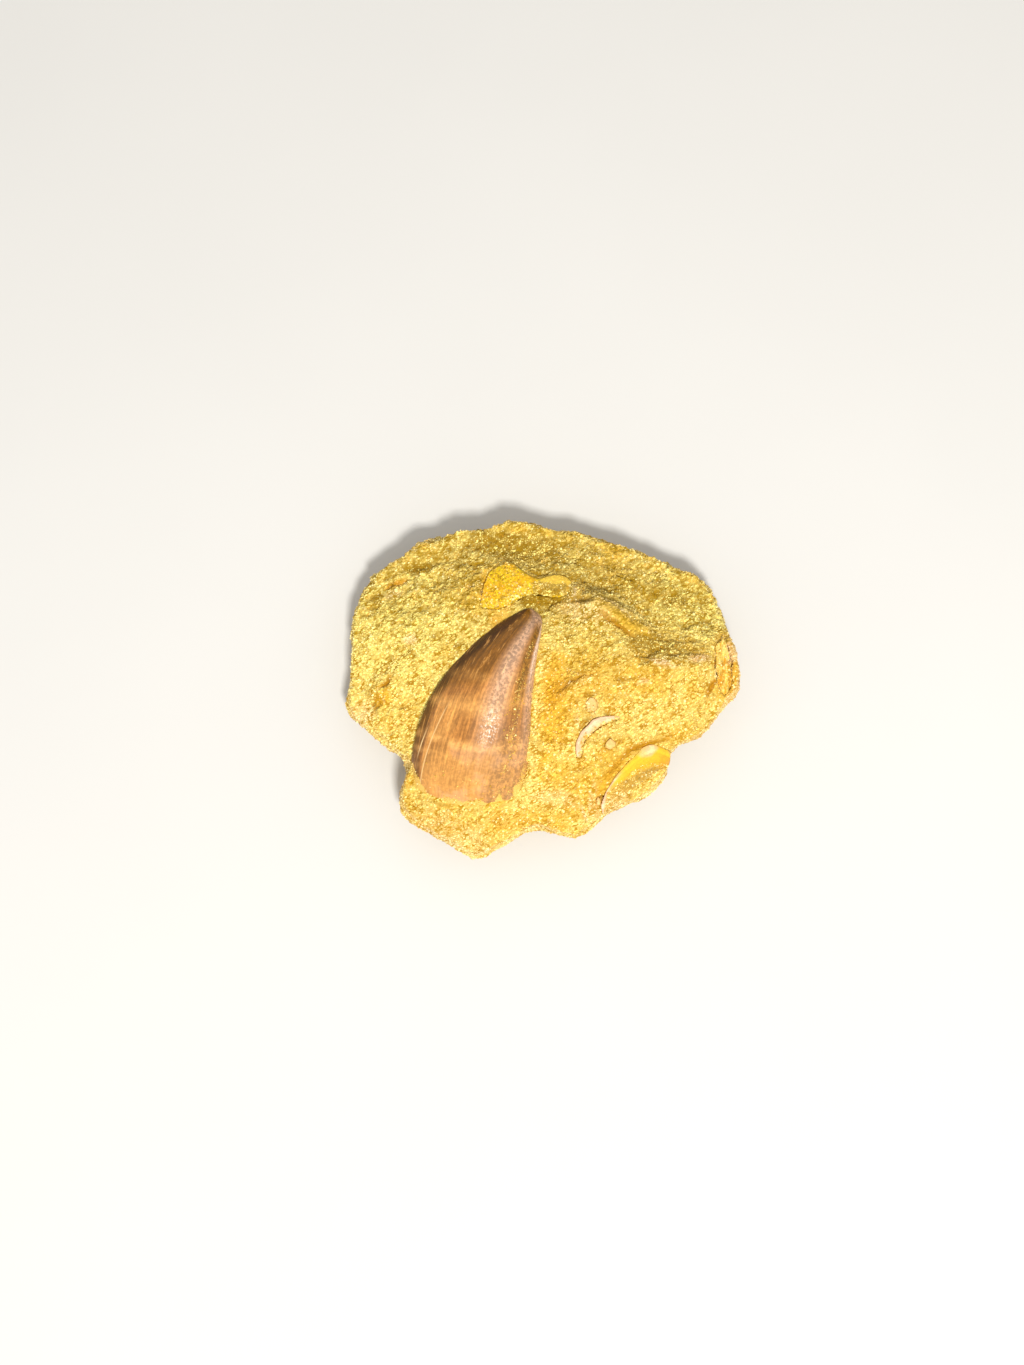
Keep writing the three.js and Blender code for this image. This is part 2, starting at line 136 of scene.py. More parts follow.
def bell(distance, width):
    return np.exp(-0.5 * (distance / width) ** 2)


def lattice(i, j, seed):
    """Repeatable numbers from -1 to 1 for whole-number pairs."""
    wave = np.sin(i * 127.1 + j * 311.7 + seed * 74.7) * 43758.5453
    return 2 * (wave - np.floor(wave)) - 1


def ripples(x, y, seed):
    """Smooth noise from -1 to 1 with bumps about one unit apart."""
    i, j = np.floor(x), np.floor(y)
    u, v = smooth(x - i), smooth(y - j)
    near = lattice(i, j, seed) * (1 - u) + lattice(i + 1, j, seed) * u
    far = lattice(i, j + 1, seed) * (1 - u) + lattice(i + 1, j + 1, seed) * u
    return near * (1 - v) + far * v


def ripples_at(points, size, seed):
    """Ripples with bumps of a size, for points seen in plan."""
    return ripples(points[:, 0] / size, points[:, 1] / size, seed)


def by_path(points, path):
    """Each point's distance in plan from a path of straight stretches, and its place along it."""
    best = np.full(len(points), np.inf)
    along = np.zeros(len(points))
    for n, (start, end) in enumerate(zip(path, path[1:])):
        a, run = np.array(start[:2], float), np.subtract(end[:2], start[:2])
        t = np.clip((points[:, :2] - a) @ run / (run @ run), 0, 1)
        distance = np.linalg.norm(points[:, :2] - a - t[:, None] * run, axis=1)
        nearer = distance < best
        best[nearer] = distance[nearer]
        along[nearer] = (n + t[nearer]) / (len(path) - 1)
    return best, along


# ---------------------------------------------------------------- meshes


def points_of(mesh):
    co = np.empty(len(mesh.vertices) * 3)
    mesh.vertices.foreach_get("co", co)
    return co.reshape(-1, 3)


def places_of(mesh, shift):
    """Each vertex's place in the source's millimetres."""
    return (points_of(mesh) - shift) / MM


def normals_of(mesh):
    no = np.empty(len(mesh.vertices) * 3, np.float32)
    mesh.vertex_normals.foreach_get("vector", no)
    return no.reshape(-1, 3).astype(float)


def move_points(mesh, co):
    mesh.vertices.foreach_set("co", np.ascontiguousarray(co, np.float32).ravel())
    mesh.update()


def set_values(mesh, name, values):
    """Stores one number for each vertex under a name that nodes can read."""
    layer = mesh.attributes.get(name) or mesh.attributes.new(name, "FLOAT", "POINT")
    layer.data.foreach_set("value", np.ascontiguousarray(values, np.float32))


def set_all(mesh, values):
    for name, numbers in values.items():
        set_values(mesh, name, numbers)


def values_of(mesh, name):
    values = np.empty(len(mesh.vertices), np.float32)
    mesh.attributes[name].data.foreach_get("value", values)
    return values


def new_object(name, data):
    obj = bpy.data.objects.new(name, data)
    bpy.context.scene.collection.objects.link(obj)
    return obj


def merged_copy(name, node):
    """A new object with a CAD node's mesh, its loose triangles joined up."""
    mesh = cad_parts[node].data.copy()
    mesh.name = name
    mesh.materials.clear()
    solid = bmesh.new()
    solid.from_mesh(mesh)
    bmesh.ops.remove_doubles(solid, verts=solid.verts, dist=1e-6)
    solid.to_mesh(mesh)
    solid.free()
    return new_object(name, mesh)


def apply_modifiers(obj):
    """Turns the object's modifiers into a plain mesh."""
    graph = bpy.context.evaluated_depsgraph_get()
    made = bpy.data.meshes.new_from_object(
        obj.evaluated_get(graph), preserve_all_data_layers=True, depsgraph=graph
    )
    obj.modifiers.clear()
    old = obj.data
    obj.data = made
    made.name = obj.name
    bpy.data.meshes.remove(old)


def fine_skin(obj, cell, rounds):
    """Gives a closed mesh even small faces, and softens the edges of its large old ones."""
    skin = obj.modifiers.new("Even skin", "REMESH")
    skin.mode = "VOXEL"
    skin.voxel_size = cell
    skin.use_smooth_shade = True
    if rounds:
        soft = obj.modifiers.new("Soft edges", "SMOOTH")
        soft.factor = 0.5
        soft.iterations = rounds
    apply_modifiers(obj)


def run_nodes(obj, tree, values):
    """Runs a Geometry Nodes tree over the object with the given inputs and keeps the result."""
    modifier = obj.modifiers.new(tree.name, "NODES")
    modifier.node_group = tree
    for item in tree.interface.items_tree:
        if item.item_type == "SOCKET" and item.in_out == "INPUT" and item.name in values:
            modifier[item.identifier] = values[item.name]
    apply_modifiers(obj)


def finish_piece(obj, slot, *nodes):
    """The object rides with the block and stands for CAD nodes; its slot is not used."""
    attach(obj, "root")
    if nodes:
        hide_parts(*nodes)


# ---------------------------------------------------------------- node trees


class Wire:
    """A value in a node tree. Its sums, products and fits are further nodes of the tree."""

    def __init__(self, graph, socket):
        self.graph, self.socket = graph, socket

    def __add__(self, other):
        return self.graph.math("ADD", self, other)

    def __sub__(self, other):
        return self.graph.math("SUBTRACT", self, other)

    def __rsub__(self, other):
        return self.graph.math("SUBTRACT", other, self)

    def __mul__(self, other):
        return self.graph.math("MULTIPLY", self, other)

    def __rtruediv__(self, other):
        return self.graph.math("DIVIDE", other, self)

    def __abs__(self):
        return self.graph.math("ABSOLUTE", self)

    def fit(self, low, high, to_low=0.0, to_high=1.0):
        """The value's place between low and high, eased and held at both ends."""
        inputs = {"Value": self, "From Min": low, "From Max": high}
        inputs.update({"To Min": to_low, "To Max": to_high})
        return self.graph.take("ShaderNodeMapRange", inputs, interpolation_type="SMOOTHSTEP")

    def hump(self, middle, width):
        """1 where the value is at the middle, falling to 0 at a width from it."""
        return abs(self - middle).fit(width, 0.0)

    def centred(self):
        return self - 0.5


class Graph:
    """Adds nodes to one tree and links them."""

    def __init__(self, tree):
        self.tree = tree

    def put(self, kind, inputs=None, **settings):
        node = self.tree.nodes.new(kind)
        for key, value in settings.items():
            setattr(node, key, value)
        for key, value in (inputs or {}).items():
            self.feed(node.inputs[key], value)
        return node

    def take(self, kind, inputs=None, output=0, **settings):
        """Adds a node and gives one of its outputs."""
        return Wire(self, self.put(kind, inputs, **settings).outputs[output])

    def given(self):
        """The tree's own inputs by name."""
        sockets = self.put("NodeGroupInput").outputs
        return {socket.name: Wire(self, socket) for socket in sockets if socket.name}

    def feed(self, socket, value):
        if isinstance(value, Wire):
            self.tree.links.new(value.socket, socket)
        else:
            socket.default_value = value

    def math(self, operation, a, b=0.0, clamp=False):
        return self.take("ShaderNodeMath", {0: a, 1: b}, operation=operation, use_clamp=clamp)

    def largest(self, first, *others):
        for other in others:
            first = self.math("MAXIMUM", first, other)
        return first

    def vector(self, operation, a, b=(0, 0, 0)):
        second = "Scale" if operation == "SCALE" else 1
        output = "Value" if operation == "LENGTH" else "Vector"
        return self.take("ShaderNodeVectorMath", {0: a, second: b}, output, operation=operation)

    def combined(self, x, y, z=0.0):
        return self.take("ShaderNodeCombineXYZ", {"X": x, "Y": y, "Z": z})

    def noise(self, place, size, detail=2.0, roughness=0.5, distortion=0.0):
        inputs = {"Vector": place, "Scale": 1 / size, "Detail": detail}
        inputs.update({"Roughness": roughness, "Distortion": distortion})
        return self.take("ShaderNodeTexNoise", inputs)

    def wander(self, place, scale, detail):
        """Three separate noises around 0.5, as a vector."""
        inputs = {"Vector": place, "Scale": scale, "Detail": detail}
        return self.take("ShaderNodeTexNoise", inputs, output=1)

    def cells(self, place, size, output="Distance"):
        return self.take("ShaderNodeTexVoronoi", {"Vector": place, "Scale": 1 / size}, output)

    def stretched(self, place, degrees, scale):
        """The place turned about Z and then stretched, for patterns that run one way."""
        inputs = {"Vector": place, "Angle": math.radians(degrees)}
        turned = self.take("ShaderNodeVectorRotate", inputs, rotation_type="Z_AXIS")
        return self.vector("MULTIPLY", turned, scale)

    def blend(self, factor, a, b, how="MIX"):
        """A colour between two others, each a wire or a plain red, green and blue."""
        ways = {"data_type": "RGBA", "blend_type": how, "clamp_factor": True}
        node = self.put("ShaderNodeMix", {0: factor}, **ways)
        for n, paint in ((6, a), (7, b)):
            self.feed(node.inputs[n], paint if isinstance(paint, Wire) else opaque(paint))
        return Wire(self, node.outputs[2])

    def ramp(self, value, stops):
        """A value that runs through the given (place, value) stops."""
        node = self.put("ShaderNodeValToRGB", {0: value})
        points = node.color_ramp.elements
        while len(points) < len(stops):
            points.new(1.0)
        for point, (at, grey) in zip(points, stops):
            point.position = at
            point.color = (grey, grey, grey, 1.0)
        return Wire(self, node.outputs["Color"])

    def coated(self, tone, *coats):
        """The colour under further coats, each given by how far it covers and its colour."""
        for cover, paint in coats:
            tone = self.blend(cover, tone, paint)
        return tone

    def shade(self, tone, value):
        """The colour made lighter or darker by a value around 1."""
        grey = self.take("ShaderNodeCombineColor", {0: value, 1: value, 2: value})
        return self.blend(1.0, tone, grey, "MULTIPLY")

    def stored(self, name):
        """In a geometry tree, the number stored on each point under a name."""
        return self.take("GeometryNodeInputNamedAttribute", {"Name": name}, data_type="FLOAT")

    def attribute(self, name):
        """In a material, the number stored on the mesh under a name."""
        return self.take("ShaderNodeAttribute", output="Fac", attribute_name=name)

    def place(self):
        """In a geometry tree, each point's place in millimetres."""
        return self.vector("SCALE", self.take("GeometryNodeInputPosition"), 1 / MM)

    def store(self, geometry, name, value, domain="POINT"):
        inputs = {"Geometry": geometry, "Name": name, "Value": value}
        kinds = {"data_type": "FLOAT", "domain": domain}
        return self.take("GeometryNodeStoreNamedAttribute", inputs, **kinds)

    def moved(self, geometry, way, distance):
        inputs = {"Geometry": geometry, "Offset": self.vector("SCALE", way, distance)}
        return self.take("GeometryNodeSetPosition", inputs)

    def finish_geometry(self, geometry, material, soft):
        """Realizes instances, sets material and shading, and ends the tree."""
        whole = self.take("GeometryNodeRealizeInstances", {"Geometry": geometry})
        done = self.take("GeometryNodeSetMaterial", {"Geometry": whole, "Material": material})
        shaded = self.take("GeometryNodeSetShadeSmooth", {"Geometry": done, "Shade Smooth": soft})
        self.feed(self.put("NodeGroupOutput").inputs[0], shaded)


def add_sockets(tree, inputs, outputs):
    """Gives a tree its sockets: name, kind and, where there is one, the default of each."""
    for direction, sockets in (("INPUT", inputs), ("OUTPUT", outputs)):
        for label, kind, *value in sockets:
            kind = "NodeSocket" + kind
            socket = tree.interface.new_socket(label, in_out=direction, socket_type=kind)
            if value:
                socket.default_value = value[0]


def geometry_tree(name, numbers, whole_numbers=()):
    """A new tree that works on a mesh, its graph and its inputs by name."""
    tree = bpy.data.node_groups.new(name, "GeometryNodeTree")
    inputs = [("Geometry", "Geometry"), *((n, "Float") for n in numbers)]
    inputs += [*((n, "Int") for n in whole_numbers), ("Finish", "Material")]
    add_sockets(tree, inputs, [("Geometry", "Geometry")])
    graph = Graph(tree)
    return tree, graph, graph.given()


def shader_group(name, inputs, outputs):
    """A new shader group: its graph, its inputs by name and the sockets that take its outputs."""
    tree = bpy.data.node_groups.new(name, "ShaderNodeTree")
    add_sockets(tree, inputs, outputs)
    graph = Graph(tree)
    return graph, graph.given(), graph.put("NodeGroupOutput").inputs


def use_group(graph, name, inputs):
    """Places a shader group and gives its outputs by name."""
    node = graph.put("ShaderNodeGroup", node_tree=bpy.data.node_groups[name])
    for key, value in inputs.items():
        graph.feed(node.inputs[key], value)
    return {socket.name: Wire(graph, socket) for socket in node.outputs}


def new_material(name):
    """A material with its graph, its shader and the object's place in millimetres."""
    material = bpy.data.materials.new(name)
    material.use_nodes = True
    graph = Graph(material.node_tree)
    shader = next(n for n in material.node_tree.nodes if n.type == "BSDF_PRINCIPLED")
    where = graph.take("ShaderNodeTexCoord", output="Object")
    return material, graph, shader, graph.vector("SCALE", where, 1 / MM)


def relief_of(graph):
    """The finer part of a skin's height, in millimetres."""
    return graph.attribute("relief") * (1 / MM)


def add_bump(graph, shader, height, distance, strength=1.0):
    inputs = {"Height": height, "Distance": distance, "Strength": strength}
    graph.feed(shader.inputs["Normal"], graph.take("ShaderNodeBump", inputs))


# ---------------------------------------------------------------- shared shader effects

# Stained patches of the sandstone: kind, middle, radii (mm in the part's source), turn
# (degrees) and strength. Olive and Hollow patches are partly painted shade: the dark back
# slope and the shadowed hollow beyond the crown's tip.
STAINS = [
    ("Lemon", (-27, 7), (14, 17), -25, 0.9),
    ("Lemon", (27, 16), (10, 6), -30, 0.95),
    ("Lemon", (-27, -6), (9, 9), -40, 0.6),
    ("Olive", (5, 21.5), (27, 5.0), -11, 0.3),
    ("Olive", (-6, 27.6), (12, 3.0), -4, 0.85),
    ("Deep", (8, -19), (9, 6), -20, 0.7),
    ("Golden", (-8.4, 18.6), (3.6, 5.6), -14, 1.0),
    ("Golden", (-4.4, 19.4), (3.4, 2.2), -18, 0.9),
    ("Golden", (-29.7, -1.6), (1.7, 2.2), -35, 0.8),
    ("Golden", (2.5, -2.6), (3.4, 1.6), 30, 0.5),
    ("Golden", (2.2, -6), (3.6, 15), -4, 0.85),
    ("Amber", (2.0, -2), (2.6, 9), -4, 0.25),
    ("Golden", (-28, -4), (6, 5), -40, 0.2),
    ("Deep", (9, 2), (8, 9), 0, 0.6),
    ("Olive", (-23.3, 23.3), (3.2, 1.2), 4, 0.9),
    ("Olive", (-31.4, 17.6), (1.9, 0.9), 25, 0.7),
    ("Olive", (21.5, 6.9), (8, 2.2), -4, 0.75),
    ("Olive", (15.8, 19.5), (2.4, 1.2), 0, 0.8),
    ("Olive", (24.6, 17.2), (2.8, 1.8), -15, 0.8),
    ("Olive", (-0.5, 16.0), (4.6, 2.2), 6, 0.8),
    ("Hollow", (0.6, 16.4), (5.0, 1.9), 2, 0.85),
    ("Hollow", (21.6, 18.1), (1.4, 0.9), 0, 0.7),
    ("Amber", (35, 3), (3.4, 8), 8, 0.5),
    ("Amber", (-6.6, -25), (5.5, 2.4), 12, 0.5),
    ("Amber", (-27.5, 20.3), (2.4, 0.8), 20, 0.8),
    ("Amber", (3.6, -3.6), (3.4, 3.8), 0, 0.3),
    ("Amber", (-7.6, 12.4), (3.4, 2.2), 40, 0.5),
    ("Amber", (24.4, -14.2), (1.6, 2.0), 0, 0.6),
    ("Pale", (-27.7, 18.3), (2.4, 1.1), 10, 0.5),
    ("Pale", (-24.6, 9.1), (1.7, 1.1), 0, 0.6),
    ("Pale", (8.6, 13.4), (6, 3), -20, 0.45),
    ("Pale", (22, 3.4), (3.4, 1.2), -14, 0.8),
    ("Pale", (29, 4.6), (2.6, 1.2), 0, 0.7),
    ("Pale", (18.5, 0), (1.6, 0.9), 20, 0.6),
    ("Pale", (35.2, 6.6), (1.8, 2.6), 0, 0.7),
    ("Pale", (8.9, -4.6), (1.4, 1.5), 0, 0.9),
    ("Pale", (-34, -4.6), (3, 3.6), -30, 0.5),
    ("Pale", (2, -20.8), (6, 1.8), -6, 0.3),
    ("Pale", (9.4, -21.6), (1.6, 3.2), 0, 0.5),
    ("Pale", (13.6, -21.2), (3.6, 1.6), 30, 0.4),
    ("Pale", (-17, -27), (10, 3.4), -24, 0.25),
]
# How far the sandstone's crumbs are drawn out along their common run and across it, and the way
# of that run in degrees.
RUN, RUN_WAY = (0.6, 1.12, 1.0), -28
CRUMB = 0.42  # size of the finest crumbs, in millimetres
STAIN_LEVEL = 14.0  # height of each stain's middle, and its reach up and down


def build_stain_group():
    """Mask of one patch with a ragged, fading edge."""
    graph, given, out = shader_group(
        "Stain patch",
        [("Place", "Vector"), ("Middle", "Vector"), ("Radii", "Vector"), ("Turn", "Vector"),
         ("Ragged", "Float", 0.0), ("Strength", "Float", 1.0)],
        [("Mask", "Float")],
    )
    inputs = {"Vector": given["Place"], "Location": given["Middle"]}
    inputs.update({"Rotation": given["Turn"], "Scale": given["Radii"]})
    local = graph.take("ShaderNodeMapping", inputs, vector_type="TEXTURE")
    edge = graph.vector("LENGTH", local) + given["Ragged"]
    graph.feed(out["Mask"], edge.fit(1.15, 0.45) * given["Strength"])


def build_sandstone_group(look, shift):
    """The sandstone at a place: colour, painted shade, clumps, and gaps of painted shade."""
    colours = ("Bright", "Deep", "Olive", "Amber", "Pale", "Golden", "Hollow", "Lemon", "Rust")
    graph, given, out = shader_group(
        "Sandstone tint",
        [("Place", "Vector"), *((c, "Color", opaque(getattr(look, c.lower()))) for c in colours)],
        [("Colour", "Color"), ("Dim", "Float"), ("Clump", "Float"), ("Gap", "Float"),
         ("Gap colour", "Color")],
    )
    place = given["Place"]
    drawn = graph.stretched(place, RUN_WAY, RUN)
    upward = graph.take("ShaderNodeSeparateXYZ", {0: place}, output="Y")

    cloud = graph.noise(place, 8.0, detail=3.0, roughness=0.6).fit(0.4, 0.66)
    tone = graph.blend(cloud, given["Bright"], given["Deep"])
    ragged = graph.noise(place, 3.2, detail=4.0, roughness=0.65).centred() * 1.5
    shade_mask = 0.0
    for kind, middle, radii, turn, strength in STAINS:
        mask = use_group(graph, "Stain patch", {
            "Place": place,
            "Middle": (middle[0] + shift[0] / MM, middle[1] + shift[1] / MM, STAIN_LEVEL),
            "Radii": (*radii, STAIN_LEVEL),
            "Turn": (0.0, 0.0, math.radians(turn)),
            "Ragged": ragged,
            "Strength": strength,
        })["Mask"]
        tone = graph.blend(mask, tone, given[kind])
        # The Olive and Hollow patches also mark where shade is painted.
        if kind in ("Olive", "Hollow"):
            shade_mask = graph.largest(mask, shade_mask)

    # A mottle breaks up the painted shade into dark and light spots, and is strongest far up.
    mottle = graph.noise(drawn, 1.3, detail=4.0, roughness=0.65)
    tone = graph.coated(
        tone,
        (shade_mask * mottle.fit(0.49, 0.44), given["Hollow"]),
        (shade_mask * mottle.fit(0.53, 0.57, 0.0, 0.95), given["Lemon"]),
        (mottle.fit(0.52, 0.68, 0.0, 0.4), given["Amber"]),
    )
    strong = mottle.centred() * upward.fit(10.0, 18.0, 0.0, 1.5)
    front = (upward + ragged * 4.0).fit(14.0, -4.0, 0.0, 0.4)
    worn = graph.noise(place, 1.9).fit(0.6, 0.4, 0.45, 1.0)
    # Gap and Gap colour are painted shade between crumbs, olive far back and rustier in front.
    results = {
        "Colour": graph.shade(tone, mottle.fit(0.25, 0.6, 0.92, 1.04) + strong),
        "Dim": shade_mask,
        "Clump": mottle.centred() * 3.0,
        "Gap": graph.cells(drawn, 0.44).fit(0.44, 0.6) * worn,
        "Gap colour": graph.blend(front, given["Hollow"], given["Rust"]),
    }
    for name, result in results.items():
        graph.feed(out[name], result)


def build_dust_group():
    """Mask of fine sand that clings to a polished surface in drifts and specks."""
    graph, given, out = shader_group(
        "Clinging sand", [("Place", "Vector"), ("Amount", "Float", 0.2)], [("Mask", "Float")]
    )
    drift = graph.noise(given["Place"], 2.6, detail=3.0, roughness=0.6)
    speck = graph.noise(given["Place"], 0.34, roughness=0.7)
    level = 1.02 - given["Amount"] * 0.74
    graph.feed(out["Mask"], (drift * 0.45 + speck * 0.75 - level).fit(-0.06, 0.08))


# ---------------------------------------------------------------- settings


class FossilRockSettings(bpy.types.PropertyGroup):
    """Sizes and colours of the sandstone block and its grains."""

    cell: length("Skin cell", "Size of the small faces of the block's skin", 0.39)
    lump_depth: length("Lumps", "Depth of the broken lumps", 1.1)
    pit_depth: length("Pits", "Depth of the pits between crumbs of sand", 0.52)
    ripple_depth: length("Wrinkles", "Depth of the long wrinkles on the slopes", 3.4)
    grain_spacing: length("Grain spacing", "Least distance between sand grains on top", 0.32)
    side_spacing: length("Side spacing", "Least distance between sand grains on the sides", 0.56)
    smallest_grain: length("Smallest grain", "Radius of the smallest sand grain", 0.13)
    largest_grain: length("Largest grain", "Radius of the largest sand grain", 0.3)
    seed: IntProperty(name="Seed", description="Chooses where the grains lie", default=11)
    bright: colour("Bright sand", "Lemon-golden main colour", 0xF4E084)
    deep: colour("Deep sand", "Deeper golden clouds", 0xE6C258)
    # olive, hollow and crease also stand for painted shade, light for a painted highlight.
    olive: colour("Olive sand", "Dull olive, partly painted shade", 0xD2C07C)
    amber: colour("Amber sand", "Rusty amber patches", 0xF0AE34)
    pale: colour("Pale sand", "Pinkish cream patches", 0xFADCB0)
    hollow: colour("Hollows", "Brown grains, painted shade in pits and gaps", 0xA27E1A)
    crease: colour("Creases", "Painted shade of creases and shaded places", 0x846418)
    light: colour("Pale grains, crest highlight", "Painted crest highlight, pale grains", 0xFFF4BA)
    lemon: colour("Lemon sand", "Light lemon sand of the open shelves", 0xFCEE8C)
    golden: colour("Golden sand", "Deep golden sand around the bone", 0xF6BC30)
    rust: colour("Rusty seams", "Orange of the rusty seams", 0xC98A22)
    chalk: colour("Chalky specks", "Whitish specks and lines", 0xFCEBCC)


class FossilToothSettings(bpy.types.PropertyGroup):
    """Sizes and colours of the tooth crown."""

    rings: IntProperty(
        name="Rings", description="Rings of faces along the crown", default=200, min=24
    )
    sides: IntProperty(name="Sides", description="Faces around the crown", default=240, min=30)
    striation: length("Striation", "Depth of the fine lengthways ridges", 0.03)
    base: colour("Base enamel", "Light orange near the gum line", 0xD89A50)
    middle: colour("Middle enamel", "Orange brown of the middle", 0xB07436)
    # tip and edge are partly painted shade on the crown's left flank.
    tip: colour("Tip enamel", "Dark brown tip; left flank partly painted shade", 0x80500E)
    edge: colour("Edge", "Darkest brown and painted shade along the left edge", 0x4A2606)
    groove: colour("Groove", "Ochre brown of the groove", 0x7C5416)
    # worn is partly a painted sheen on the ridges.
    worn: colour("Worn enamel and sheen", "Pinkish wear and painted sheen on ridges", 0xCAA080)
    growth: colour("Growth lines", "Pale orange lines across the enamel", 0xF0B060)
    scratch: colour("Scratches", "Pale lines in the enamel", 0xF2C888)
    dust: colour("Clinging sand", "Sand in the scratches and the groove", 0xDDB45C)
    glint: colour("Glints", "Bright specks on the ridge", 0xFFEEDC)


class FossilBoneSettings(bpy.types.PropertyGroup):
    """Sizes and colours of the bone fragments."""

    cell: length("Skin cell", "Size of the small faces of the bone", 0.17)
    pit_depth: length("Pits", "Depth of the bone's pores", 0.2)
    ridge_depth: length("Ridges", "Depth of the splinter's long ridges", 0.8)
    golden: colour("Golden bone", "Main colour of the bone", 0xF8D01A)
    rusty: colour("Rusty bone", "Stained parts of the bone", 0xF2B81C)
    knob: colour("Polished bone", "Smooth knob at the fragment's right end", 0xEEC452)
    worn: colour("Worn bone", "Pale worn bone, painted crest highlight", 0xF8DC7C)
    streak: colour("Streaks", "Orange streaks of the splinter", 0xE0901C)
    sandy: colour("Sandy bone", "Bone where sand covers it", 0xA8842C)


class FossilShellSettings(bpy.types.PropertyGroup):
    """Sizes and colours of the shells."""

    cell: length("Skin cell", "Size of the small faces of the shells", 0.13)
    line_depth: length("Growth lines", "Depth of the growth lines", 0.07)
    chalk: colour("Chalk", "Chalky white of the shell", 0xF0D6A6)
    blush: colour("Blush", "Pinkish tinge of the shell", 0xE6B890)
    honey: colour("Honey", "Stained yellow shell", 0xECB824)
    amber: colour("Amber", "Deep orange stain at the shell's end", 0xE09C1C)
    sandy: colour("Sandy shell", "Shell where sand covers it", 0xB88C30)


class FossilStageSettings(bpy.types.PropertyGroup):
    """The floor, the lights and the camera."""

    floor: colour("Floor", "Colour of the pale floor", 0xCFCDC9)
    key: number("Key light", "Power of the main light", 3.86, unit="POWER")
    sheen: number("Sheen light", "Power of the light for the long highlight", 1.6, unit="POWER")
    sky: number("Room light", "Strength of the light from all round", 0.72, min=0.0)
    elevation: number(
        "Elevation", "Camera's angle above the horizon", math.radians(80), subtype="ANGLE"
    )
    distance: number("Distance", "Camera's distance from what it looks at", 0.353, unit="LENGTH")
    lens: number("Lens", "Focal length in millimetres", 50.0)


# ---------------------------------------------------------------- the tooth


def through_stations(values, t):
    """Points of the smooth curve through the stations, for places t from 0 to 1."""
    values = np.array(values, float)
    ends = 2 * values[0] - values[1], 2 * values[-1] - values[-2]
    knots = np.vstack([ends[0], values, ends[1]])
    place = t * (len(values) - 1)
    i = np.minimum(place.astype(int), len(values) - 2)
    u = (place - i)[:, None]
    p0, p1, p2, p3 = (knots[i + n] for n in range(4))
    return 0.5 * (
        2 * p1 + (p2 - p0) * u + (2 * p0 - 5 * p1 + 4 * p2 - p3) * u**2
        + (3 * p1 - p0 - 3 * p2 + p3) * u**3
    )


def crown_rings(rings, sides, striation):
    """The crown's points [ring, side] in the source's millimetres, and their places on it."""
    t = 1 - (1 - np.arange(rings + 1) / rings) ** TIP_CROWDING
    left, right = through_stations(CROWN_LEFT, t), through_stations(CROWN_RIGHT, t)
    rise, depth = through_stations(CROWN_GIRTH, t).T
    middle = (left + right) / 2
    angle = 2 * np.pi * np.arange(sides) / sides
    across, up = np.cos(angle), np.sin(angle)
    run = t[:, None]
    facet = sum(r * bell(across - at, width) for at, width, r in CROWN_FACETS)
    facet = facet * smooth((run - 0.14) / 0.2)
    tall = np.where(up > 0, rise[:, None] * (1 + facet), depth[:, None])
    skew = CROWN_SKEW * np.clip(run - SKEW_START, 0, 0.75) * np.clip(up, 0, 1) ** 2

    # Fine ridges run from the root to the tip, and broad swellings cross them.
    turn = np.arccos(across)[None, :] * CROWN_RADIUS
    along = run + 0 * turn
    fine = ripples(turn * 3.4, along * 5, 3) + 0.6 * ripples(turn * 7.5, along * 9, 5)
    broad = ripples(turn * 0.7, along * 26, 8)
    relief = striation * (fine + 0.9 * broad) * np.sqrt(np.clip(1 - run, 0, 1))

    points = np.empty((rings + 1, sides, 3))
    half = right - middle
    points[...] = middle[:, None, :] + (across + skew)[..., None] * half[:, None, :]
    points[..., 2] += up * (tall + relief)
    flat = points.shape[:2]
    values = {
        "across": np.broadcast_to(across, flat),
        "along": np.broadcast_to(run, flat),
        "turn": np.broadcast_to(np.arccos(across) / np.pi, flat),
        "wide": np.broadcast_to(np.linalg.norm(half, axis=1)[:, None] / 10, flat),
    }
    return points, values, middle


def closed_loft(name, rings, first, last):
    """A closed mesh from rings of points and one point that closes each end."""
    count, sides = rings.shape[:2]
    points = np.vstack([first, rings.reshape(-1, 3), last])
    end = len(points) - 1
    here = np.arange(sides)
    after = (here + 1) % sides
    faces = [(0, 1 + a, 1 + b) for a, b in zip(here, after)]
    for r in range(count - 1):
        low, high = 1 + r * sides, 1 + (r + 1) * sides
        faces += [(low + a, high + a, high + b, low + b) for a, b in zip(here, after)]
    low = 1 + (count - 1) * sides
    faces += [(end, low + b, low + a) for a, b in zip(here, after)]
    mesh = bpy.data.meshes.new(name)
    mesh.from_pydata(points.tolist(), [], [tuple(map(int, face)) for face in faces])
    mesh.polygons.foreach_set("use_smooth", np.ones(len(mesh.polygons), bool))
    mesh.update()
    return mesh


def source_shift():
    """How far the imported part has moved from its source's numbers, in metres."""
    rings, *_ = crown_rings(24, 30, 0.0)
    shift = np.array(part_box("tooth")[0]) - rings.reshape(-1, 3).min(0) * MM
    return np.array([shift[0], shift[1], 0.0])


# How dark the enamel is along the crown, from the root (0) to the tip (1).
DARKNESS = [
    (0.0, 0.3), (0.12, 0.12), (0.23, 0.2), (0.27, 0.5), (0.34, 0.48), (0.375, 0.22),
    (0.42, 0.36), (0.47, 0.55), (0.54, 0.8), (0.7, 0.95), (1.0, 1.0),
]
# Soft pale growth lines: place along the crown, half width, strength.
GROWTH_LINES = [
    (0.49, 0.03, 0.2), (0.385, 0.026, 0.6), (0.262, 0.02, 0.95), (0.215, 0.014, 0.4),
    (0.16, 0.02, 0.3),
]
SCRATCH_LEAN = 0.63  # how far the scratches lean across the crown for its whole length


